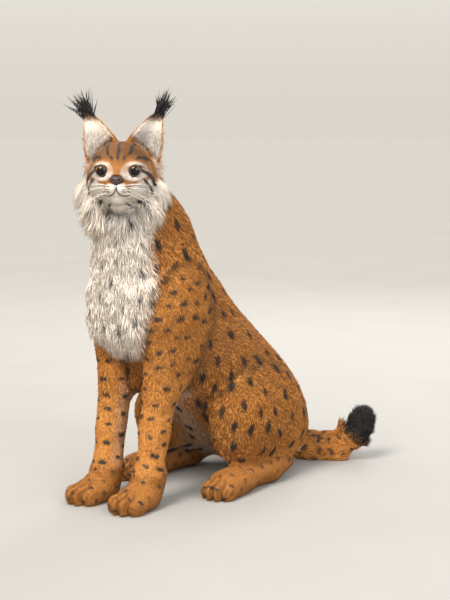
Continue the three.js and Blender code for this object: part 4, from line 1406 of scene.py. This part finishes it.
def fitFaceHair(roots):
    # the shortest hair is on the muzzle and round the eyes, and none grows on the nose or the eyeballs
    head = local(headFrame, roots["point"])
    x, y, z = head.T
    column = columnsOf(roots["shares"])
    onFace = column["face"]
    u, w = np.abs(x) - animal["eye"][0], z - animal["eye"][2]
    toEye = np.hypot(u, w) + 99 * (y > faceHair["front"])  # far off unless it is in front
    behind = smoothStep(*faceHair["behind"], y)
    short = np.maximum(smoothStep(*faceHair["muzzle"], y), smoothStep(*faceHair["aroundEye"], toEye))
    shorter = 1 - faceHair["shorter"] * onFace * short
    beside = smoothStep(*faceHair["beside"], np.abs(x))
    crown = 1 + faceHair["crownLonger"] * onFace * np.maximum(behind, beside)
    chin = faceHair["chinLonger"] * smoothStep(*faceHair["chin"], z)
    crown += onFace * (chin + faceHair["browLonger"] * smoothStep(*faceHair["brow"], z))
    fluff = 1 + faceHair["cupLonger"] * column["earCup"] * smoothStep(*faceHair["cup"], z)
    roots["length"] = roots["length"] * shorter * crown * fluff
    roots["width"] = roots["width"] * (0.7 + 0.3 * shorter) * (0.8 + 0.2 * crown)
    apart = (head - np.array(animal["nose"])) / (np.array(animal["noseHalf"]) + 1.0)
    onNose = np.linalg.norm(apart, axis=1) < faceHair["noseGap"]
    inLids = (almondReach(u, w) < faceHair["lidGap"]) & (y < faceHair["front"])
    sparse = chance.random_sample(len(y)) < faceHair["thinned"] * onFace * behind
    return keepRoots(roots, ~(onNose | inLids | sparse))


growCoat()


# Eyes

eyeLook = {
    "pupil": 0.34,  # shares of a quarter turn from the gaze, as the rings and the dome are
    "pupilEdge": 0.03,
    "rings": [(0.42, 1.0), (0.5, 0.7), (0.56, 0.0)],  # and how much of the amber shows there
    "innerAmber": 0.75,
    "dome": (0.6, 0.3),
    "domeRise": 0.0012,
    "spokes": 9.0,  # how finely the iris is streaked
    "amber": "#c98f2e",
    "amberDeep": "#7a4a14",
    "dark": "#050403",  # of the pupil and of the ring round the iris
    "outward": 6,  # degrees
}


def eyeMaterial():
    # Glass eye as a taxidermist sets: amber iris painted in fine spokes under a clear wet-looking dome
    material, tree, shader = newMaterial("glass eye with painted iris", Roughness=0.3)
    shader.inputs["Specular IOR Level"].default_value = 0.0
    shader.inputs["Coat Weight"].default_value = 0.7
    shader.inputs["Coat Roughness"].default_value = 0.02
    ring = addNode(tree, "ShaderNodeAttribute", attribute_name="eyeRing")
    parts = addNode(tree, "ShaderNodeSeparateColor", {"Color": ring.outputs["Color"]})
    spread = addNode(tree, "ShaderNodeCombineXYZ", {"X": parts.outputs["Green"], "Y": parts.outputs["Blue"]})
    streaks = {"Vector": spread.outputs[0], "Scale": eyeLook["spokes"], "Detail": 3.0}
    spokes = addNode(tree, "ShaderNodeTexNoise", streaks)
    ambers = {0: spokes.outputs["Fac"], 6: srgb(eyeLook["amberDeep"]), 7: srgb(eyeLook["amber"])}
    iris = addNode(tree, links=ambers, **colourMix)
    ramp = addNode(tree, "ShaderNodeValToRGB", {"Fac": parts.outputs["Red"]})
    stops = ramp.color_ramp.elements
    stops[0].position = eyeLook["pupil"]
    stops[1].position = eyeLook["pupil"] + eyeLook["pupilEdge"]
    stops[0].color = (0, 0, 0, 1)
    stops[1].color = (*[eyeLook["innerAmber"]] * 3, 1)
    for position, level in eyeLook["rings"]:
        stops.new(position).color = (level, level, level, 1)
    rings = {0: ramp.outputs["Color"], 6: srgb(eyeLook["dark"]), 7: iris.outputs[2]}
    colour = addNode(tree, links=rings, **colourMix)
    tree.links.new(colour.outputs[2], shader.inputs["Base Color"])
    return material


def makeEye(side, label, material):
    bpy.ops.mesh.primitive_uv_sphere_add(segments=72, ring_count=72, radius=1)
    eye = bpy.context.object
    eye.name = f"eyeball_{label}"
    points = pointsOf(eye)
    turn = np.degrees(np.arccos(np.clip(points[:, 2], -1, 1))) / 90
    around = np.arctan2(points[:, 1], points[:, 0])
    across, up = np.cos(around) * 0.5 + 0.5, np.sin(around) * 0.5 + 0.5
    storeAttribute(eye.data, "eyeRing", np.stack([np.clip(turn, 0, 1), across, up, 0 * turn + 1], axis=1))
    radius = animal["eyeRadius"] * animal["headSize"] / 1000
    rise = eyeLook["domeRise"] * smoothStep(*eyeLook["dome"], turn)
    gaze = Matrix.Rotation(math.radians(side * eyeLook["outward"]), 3, "Z") @ faceWay
    turnTo = np.array(gaze.to_track_quat("Z", "Y").to_matrix())
    centre = np.array(placed(headFrame, *onSide(side, animal["eye"])))
    setPoints(eye, (points * (radius + rise)[:, None]) @ turnTo.T + centre)
    shadeSmooth(eye)
    eye.data.materials.append(material)
    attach(eye, "root")
    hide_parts(f"eye_{label}")


sides = ((1, "left"), (-1, "right"))
eyeGlass = eyeMaterial()
for sideNumber, sideName in sides:
    makeEye(sideNumber, sideName, eyeGlass)
print("eyes set")


# Bare dark skin: lid rims, lips and nose

stainSize = 6.25  # millimetres from one dark patch of bare skin to the next


def bareSkinMaterial(name, tint, roughness, pebble):
    # Bare skin of lids, lips and nose: dark, slightly moist, with a fine pebbled grain that breaks the shine
    material, tree, shader = newMaterial(name, Roughness=roughness)
    shader.inputs["Coat Weight"].default_value = 0.25
    shader.inputs["Coat Roughness"].default_value = 0.25
    place = addNode(tree, "ShaderNodeTexCoord")
    grain = {"Vector": place.outputs["Object"], "Scale": 1000 / pebble}
    cells = addNode(tree, "ShaderNodeTexVoronoi", grain)
    patches = {"Vector": place.outputs["Object"], "Scale": 1000 / stainSize}
    stain = addNode(tree, "ShaderNodeTexNoise", patches)
    tints = {0: stain.outputs["Fac"], 6: srgb(tint[0]), 7: srgb(tint[1])}
    colour = addNode(tree, links=tints, **colourMix)
    relief = {"Height": cells.outputs["Distance"], "Strength": 0.45, "Distance": 0.0004}
    bump = addNode(tree, "ShaderNodeBump", relief)
    tree.links.new(colour.outputs[2], shader.inputs["Base Color"])
    tree.links.new(bump.outputs["Normal"], shader.inputs["Normal"])
    return material


lidSkin = bareSkinMaterial("bare lid and lip skin", ("#1b1412", "#33241f"), 0.42, 0.9)
noseSkin = bareSkinMaterial("moist pebbled nose skin", ("#241815", "#3c2721"), 0.36, 1.1)

skinTree = nearestIn(skin.data)


def tubeAlong(name, points, radii, sides):
    curve = bpy.data.curves.new(name, "CURVE")
    curve.dimensions = "3D"
    curve.bevel_depth = 1.0
    curve.bevel_resolution = sides
    curve.use_fill_caps = True
    spline = curve.splines.new("POLY")
    spline.points.add(len(points) - 1)
    for stop, point, radius in zip(spline.points, points, radii):
        stop.co = (*point, 1)
        stop.radius = radius
    selectOnly(addToScene(name, curve))
    bpy.ops.object.convert(target="MESH")
    bpy.ops.object.shade_smooth()
    return bpy.context.object


def makeLids(side, label):
    # a soft rolled edge round the opening, thick enough to stand off the eyeball, that runs in under the fur
    line = almondLine()
    outward = line / np.hypot(line[:, 0], line[:, 1])[:, None]
    rows = []
    for out, radius in lidShape["profile"]:
        flat = line + outward * out
        reach = np.hypot(flat[:, 0], flat[:, 1])
        depth = np.sqrt(np.maximum(radius ** 2 - reach ** 2, lidShape["leastDepth"] ** 2))
        rows.append(np.stack([flat[:, 0], -depth, flat[:, 1]], axis=1))
    grid = np.concatenate(rows) + np.array(animal["eye"])
    grid[:, 0] *= side
    count = len(line)
    faces = []
    for row in range(len(rows) - 1):
        for i in range(count):
            here, following = row * count + i, row * count + (i + 1) % count
            faces.append((here, following, following + count, here + count))
    mesh = bpy.data.meshes.new(f"lids_{label}")
    mesh.from_pydata([placed(headFrame, *point) for point in grid], [], faces)
    lids = addToScene(mesh.name, mesh)
    editWhole(lids, bpy.ops.mesh.normals_make_consistent, inside=False)
    applyModifier(lids, "SUBSURF", levels=1, render_levels=1)
    shadeSmooth(lids)
    lids.data.materials.append(lidSkin)
    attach(lids, "root")


lipLook = {
    "steps": 6,  # between one stop of the mouth and the next
    "evening": 3,
    "rise": 0.0009,  # metres off the skin, as the radius is in metres
    "radius": 0.001,
    "sides": 3,
}


def evened(line, rounds):
    # each point of a line moves to the mean of itself and its neighbours, and the ends stay
    for _ in range(rounds):
        inner = [(line[i - 1] + line[i] + line[i + 1]) / 3 for i in range(1, len(line) - 1)]
        line = [line[0], *inner, line[-1]]
    return line


def makeLips():
    # the dark line under the nose and along each lip, laid on the skin
    pieces = []
    for side in (1, -1):
        stops = [placed(headFrame, *onSide(side, stop)) for stop in mouth["stops"]]
        line = []
        for first, last in zip(stops, stops[1:]):
            line += [first.lerp(last, k / lipLook["steps"]) for k in range(lipLook["steps"])]
        line.append(stops[-1])
        onSkin = []
        for point in evened(line, lipLook["evening"]):
            found = skinTree.find_nearest(point)
            onSkin.append(found[0] + found[1] * lipLook["rise"])
        onSkin = evened(onSkin, lipLook["evening"])
        shares = [min(1.0, 0.35 + 0.12 * i, 0.3 + 0.08 * (len(line) - i)) for i in range(len(line))]
        radii = [lipLook["radius"] * share for share in shares]  # thin towards both ends
        pieces.append(tubeAlong("lip", onSkin, radii, lipLook["sides"]))
    lips = joinPieces(pieces, "lip_line")
    lips.data.materials.append(lidSkin)
    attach(lips, "root")


noseLook = {  # millimetres and degrees; places and half sizes are on the ball that is stretched to the nose
    "more": (1.4, 1.2, 1.0),  # larger than the node that it stands for
    "taller": 1.05,
    "flatFront": 0.14,
    "narrowing": 0.5,
    "topBack": 2.2,
    "sideBack": 1.2,
    "groove": 1.6,
    "grooveHalf": 0.09,
    "pit": 5.0,
    "pitPlace": (0.46, -0.08),
    "pitHalf": (0.24, 0.2),
    "lean": -14,
}


def makeNose():
    # broad at the top, drawn in to the groove of the lip below, with two commas for nostrils
    bpy.ops.mesh.primitive_uv_sphere_add(segments=64, ring_count=40, radius=1)
    nose = bpy.context.object
    nose.name = "nose_leather"
    x, y, z = pointsOf(nose).T.copy()
    front = y < 0
    half = np.array(animal["noseHalf"]) + np.array(noseLook["more"])
    narrow = 1 - noseLook["narrowing"] * smoothStep(0.2, -1.0, z)
    flat = 1 - noseLook["flatFront"] * front
    shaped = np.stack([x * half[0] * narrow, y * half[1] * flat, z * half[2] * noseLook["taller"]], axis=1)
    shaped[:, 1] += noseLook["topBack"] * smoothStep(0.1, 1.0, z)
    shaped[:, 1] += noseLook["sideBack"] * smoothStep(0.5, 1.0, np.abs(x))
    groove = np.exp(-((x / noseLook["grooveHalf"]) ** 2)) * smoothStep(0.35, -0.3, z) * front
    shaped[:, 1] += noseLook["groove"] * groove
    (pitSide, pitUp), (halfSide, halfUp) = noseLook["pitPlace"], noseLook["pitHalf"]
    for side in (1, -1):
        rising = 0.5 * (x * side - 0.4)  # each nostril is higher at its outer end
        apart = np.hypot((x - side * pitSide) / halfSide, (z - pitUp - rising) / halfUp)
        shaped[:, 1] += noseLook["pit"] * smoothStep(1.0, 0.3, apart) * front
    lean = np.array(Matrix.Rotation(math.radians(noseLook["lean"]), 3, "X"))
    setPoints(nose, fromLocal(headFrame, shaped @ lean.T + np.array(animal["nose"], float)))
    shadeSmooth(nose)
    nose.data.materials.append(noseSkin)
    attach(nose, "root")
    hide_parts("nose")


for sideNumber, sideName in sides:
    makeLids(sideNumber, sideName)
makeLips()
makeNose()
print("lids, lips and nose made")


# Ear tufts and whiskers

earTuftLook = {
    "hairs": 110,
    "length": 60,
    "shortest": 0.55,
    "width": 2.0,
    "stand": 0.08,  # radians
    "along": (0.44, 0.0, 0.9),  # the ear's own way from foot to tip
    "reach": 13,  # the hair is rooted within this many millimetres of the ear's tip
    "earShare": 0.4,
    "sink": 0.004,  # metres
    "way": (0.5, 0.1, 0.86),
    "points": 3,  # the hair draws together in this many points
    "pointSpread": 0.13,
    "spread": 0.07,
}


def makeEarTuft(side, label):
    # long black hair from the ear's tip, swept up and outwards
    points, normals = pointsOf(skin), normalsOf(skin)
    head = local(headFrame, points)
    onEar = (shareOf("earBack", "earCup") > earTuftLook["earShare"]) & (np.sign(head[:, 0]) == side)
    reach = np.where(onEar, head @ onSide(side, earTuftLook["along"]), -1e9)
    near = np.nonzero(reach > reach.max() - earTuftLook["reach"])[0]
    count = earTuftLook["hairs"]
    chosen = chance.choice(near, count)
    way = np.tile(turned(headFrame, [onSide(side, earTuftLook["way"])]), (count, 1))
    locks = chance.normal(0, 1, (earTuftLook["points"], 3))
    locks = locks[chance.randint(0, earTuftLook["points"], count)] * earTuftLook["pointSpread"]
    way = unit(way + locks + chance.normal(0, earTuftLook["spread"], (count, 3)))
    normal = normals[chosen] - way * np.sum(normals[chosen] * way, axis=1, keepdims=True)
    roots = {
        "point": points[chosen] - way * earTuftLook["sink"],
        "normal": unit(normal),
        "lie": way,
        "shares": shares[chosen],
        "uv": np.tile(skinUv[0], (count, 1)),
        "length": earTuftLook["length"] / 1000 * chance.uniform(earTuftLook["shortest"], 1.0, count),
        "width": np.full(count, earTuftLook["width"] / 1000),
        "stand": np.full(count, earTuftLook["stand"]),
    }
    for piece in growTufts(f"hair_ear_tuft_{label}", roots, "long", "dark_hair"):
        marksAndShade = np.zeros((len(piece.data.vertices), 4))
        marksAndShade[:, 2:] = 1  # black all along
        piece.data.attributes["coatMarksAndShade"].data.foreach_set("color", marksAndShade.astype(np.float32).ravel())
        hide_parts(f"ear_tuft_{label}")


for sideNumber, sideName in sides:
    makeEarTuft(sideNumber, sideName)


def whiskerMaterial():
    # Whiskers: stiff white hair, a little glossier than the coat so that each catches the light
    material, tree, shader = newMaterial("stiff white whisker", Roughness=0.38)
    place = addNode(tree, "ShaderNodeTexCoord")
    tones = {"Vector": place.outputs["Object"], "Scale": 1000 / whiskerLook["toneSize"]}
    stain = addNode(tree, "ShaderNodeTexNoise", tones)
    first, second = (srgb(tint) for tint in whiskerLook["tints"])
    colour = addNode(tree, links={0: stain.outputs["Fac"], 6: first, 7: second}, **colourMix)
    tree.links.new(colour.outputs[2], shader.inputs["Base Color"])
    return material


def makeWhisker(side, row, i, place):
    look = whiskerLook
    found = skinTree.find_nearest(placed(headFrame, *onSide(side, place)))
    root = found[0] - found[1] * 0.001
    share = look["shortest"] + look["lengthStep"] * i
    length = look["length"] * share * chance.uniform(*look["lengths"])
    rise = look["rise"] - look["rowFall"] * row + chance.uniform(-look["riseChange"], look["riseChange"])
    way = Vector((side * 1.0, look["back"] + look["backStep"] * i, rise)).normalized()
    line = []
    radii = []
    for step in range(look["stops"] + 1):
        t = step / look["stops"]
        bend = Vector((0, look["sweep"] * t * t, -look["droop"] * t * t)) * length
        line.append(root + headFrame.to_3x3() @ (way * length * t + bend))
        radii.append(look["radius"] * (1 - look["thinning"] * t))
    return tubeAlong("whisker", line, radii, sides=1)


def makeWhiskers():
    pieces = []
    for side in (1, -1):
        for row, places in enumerate(whiskerRoots()):
            pieces += [makeWhisker(side, row, i, place) for i, place in enumerate(places)]
    whiskers = joinPieces(pieces, "whiskers")
    whiskers.data.materials.append(whiskerMaterial())
    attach(whiskers, "root")


makeWhiskers()
print("ear tufts and whiskers made")

# What the skin and the long hair stand for
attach(skin, "root")
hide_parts(*fleshNodes, "cheek_ruff_left", "cheek_ruff_right", "chest_bib", "tail_tip")


# Floor, light and camera

studio = {
    "paper": ("#a8a6a2", "#a2a09c"),  # two tones of a faint mottle
    "mottle": 333,  # millimetres from one tone to the next
    "floorRadius": 80,  # metres, so that its edge is close to the horizon
    "floorDepth": 0.02,
    "sky": 1.2,
    "skyTop": "#f3f1ed",
    "skyRise": 0.3,
    "key": 3.7,
    "keyTint": "#fff9f1",
    "keyWidth": 24,  # degrees across
    "keyAzimuth": 8,
    "keyElevation": 44,
    "lamps": {
        "fill": {"place": (4.4, -1.7, 2.6), "aim": (0, 0, 0.4), "size": 3.2, "power": 130, "tint": "#eef4ff"},
        "rim": {"place": (-1.0, 2.6, 2.2), "aim": (0, 0, 0.5), "size": 1.4, "power": 36, "tint": "#ffffff"},
    },
}


def makeFloor():
    # Studio paper, matte and pale, with a faint mottle
    bpy.ops.mesh.primitive_circle_add(vertices=96, radius=studio["floorRadius"], fill_type="NGON")
    floor = bpy.context.object
    floor.name = "studio_floor"
    down = {"value": (0, 0, -studio["floorDepth"])}
    editWhole(floor, bpy.ops.mesh.extrude_region_move, TRANSFORM_OT_translate=down)
    editWhole(floor, bpy.ops.mesh.normals_make_consistent, inside=False)
    material, tree, shader = newMaterial("matte studio paper", Roughness=0.95)
    shader.inputs["Specular IOR Level"].default_value = 0.1
    place = addNode(tree, "ShaderNodeTexCoord")
    patches = {"Vector": place.outputs["Object"], "Scale": 1000 / studio["mottle"]}
    mottle = addNode(tree, "ShaderNodeTexNoise", patches)
    first, second = (srgb(tone) for tone in studio["paper"])
    paper = addNode(tree, links={0: mottle.outputs["Fac"], 6: first, 7: second}, **colourMix)
    tree.links.new(paper.outputs[2], shader.inputs["Base Color"])
    floor.data.materials.append(material)
    floor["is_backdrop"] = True


def addLamp(name, place, aim, size, power, tint):
    data = bpy.data.lights.new(name, "AREA")
    data.shape = "DISK"
    data.size = size
    data.energy = power
    data.color = srgb(tint)[:3]
    light = addToScene(name, data)
    light.location = place
    light.rotation_euler = (Vector(aim) - Vector(place)).to_track_quat("-Z", "Y").to_euler()


def wayFrom(azimuth, elevation):
    # the way to something that stands so many degrees round from in front, towards the animal's left, and up
    around, rise = math.radians(azimuth), math.radians(elevation)
    return Vector((math.sin(around) * math.cos(rise), -math.cos(around) * math.cos(rise), math.sin(rise)))


cameraLook = {
    "azimuth": 40,
    "elevation": 7,
    "lens": 85,
    "sensor": 36,
    "frameWidth": 450,  # the photograph's frame, in pixels
    "frameHeight": 600,
    "topRow": 85,  # rows of the tips of the tufts and of the lowest toes
    "bottomRow": 517,
    "middleColumn": 218,
    "start": ((0, 0, 0.42), 2.8),  # what it looks at and how far off it is, before the first round
    "rounds": 12,
    "points": 4000,  # about as many points of each piece are fitted in the frame
}


def makeCamera():
    look = cameraLook
    data = bpy.data.cameras.new("camera")
    data.lens = look["lens"]
    data.sensor_width = look["sensor"]
    data.sensor_fit = "AUTO"
    camera = addToScene("camera", data)
    back = wayFrom(look["azimuth"], look["elevation"])
    turn = (-back).to_track_quat("-Z", "Y")
    right, up = turn @ Vector((1, 0, 0)), turn @ Vector((0, 1, 0))
    clouds = [pointsOf(piece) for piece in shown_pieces()]
    points = np.concatenate([cloud[:: max(len(cloud) // look["points"], 1)] for cloud in clouds])
    pixel = look["sensor"] / look["frameHeight"] / look["lens"]  # the long side is the frame's height
    aim, distance = Vector(look["start"][0]), look["start"][1]
    for _ in range(look["rounds"]):
        apart = points - np.array(aim + back * distance)
        away = -(apart @ np.array(back))
        columns = look["frameWidth"] / 2 + apart @ np.array(right) / away / pixel
        rows = look["frameHeight"] / 2 - apart @ np.array(up) / away / pixel
        distance *= (rows.max() - rows.min()) / (look["bottomRow"] - look["topRow"])
        shiftRow = (rows.max() + rows.min()) / 2 - (look["bottomRow"] + look["topRow"]) / 2
        shiftColumn = (columns.max() + columns.min()) / 2 - look["middleColumn"]
        aim -= up * shiftRow * pixel * distance - right * shiftColumn * pixel * distance
    camera.location = aim + back * distance
    camera.rotation_mode = "QUATERNION"
    camera.rotation_quaternion = turn
    camera.data.dof.use_dof = False
    bpy.context.scene.camera = camera
    print("camera", round(distance, 2), "m away; columns", columns.min().round(), columns.max().round())


def makeWorld():
    # at the horizon the sky is as light as the paper under it and the key, so no line shows where they meet
    paper = sum(np.array(srgb(tone)) for tone in studio["paper"]) / 2
    onPaper = studio["key"] * math.sin(math.radians(studio["keyElevation"])) / math.pi / studio["sky"]
    horizon = paper * (np.array(srgb(studio["skyTop"])) + np.array(srgb(studio["keyTint"])) * onPaper)
    horizon[3] = 1
    world = bpy.data.worlds.new("studio")
    bpy.context.scene.world = world
    world.use_nodes = True
    tree = world.node_tree
    background = tree.nodes["Background"]
    place = addNode(tree, "ShaderNodeTexCoord")
    parts = addNode(tree, "ShaderNodeSeparateXYZ", {"Vector": place.outputs["Generated"]})
    climb = {"Value": parts.outputs["Z"], "From Max": studio["skyRise"]}
    rise = addNode(tree, "ShaderNodeMapRange", climb, interpolation_type="SMOOTHSTEP")
    sky = addNode(tree, links={0: rise.outputs[0], 6: tuple(horizon), 7: srgb(studio["skyTop"])}, **colourMix)
    tree.links.new(sky.outputs[2], background.inputs["Color"])
    background.inputs["Strength"].default_value = studio["sky"]


def addKey():
    # a wide soft source far off, so that the whole floor is lit alike
    data = bpy.data.lights.new("key", "SUN")
    data.energy = studio["key"]
    data.angle = math.radians(studio["keyWidth"])
    data.color = srgb(studio["keyTint"])[:3]
    toLight = wayFrom(studio["keyAzimuth"], studio["keyElevation"])
    addToScene("key", data).rotation_euler = toLight.to_track_quat("Z", "Y").to_euler()


makeFloor()
makeWorld()
addKey()
for lampName, lamp in studio["lamps"].items():
    addLamp(lampName, **lamp)
bpy.context.scene.view_settings.view_transform = "Standard"
makeCamera()
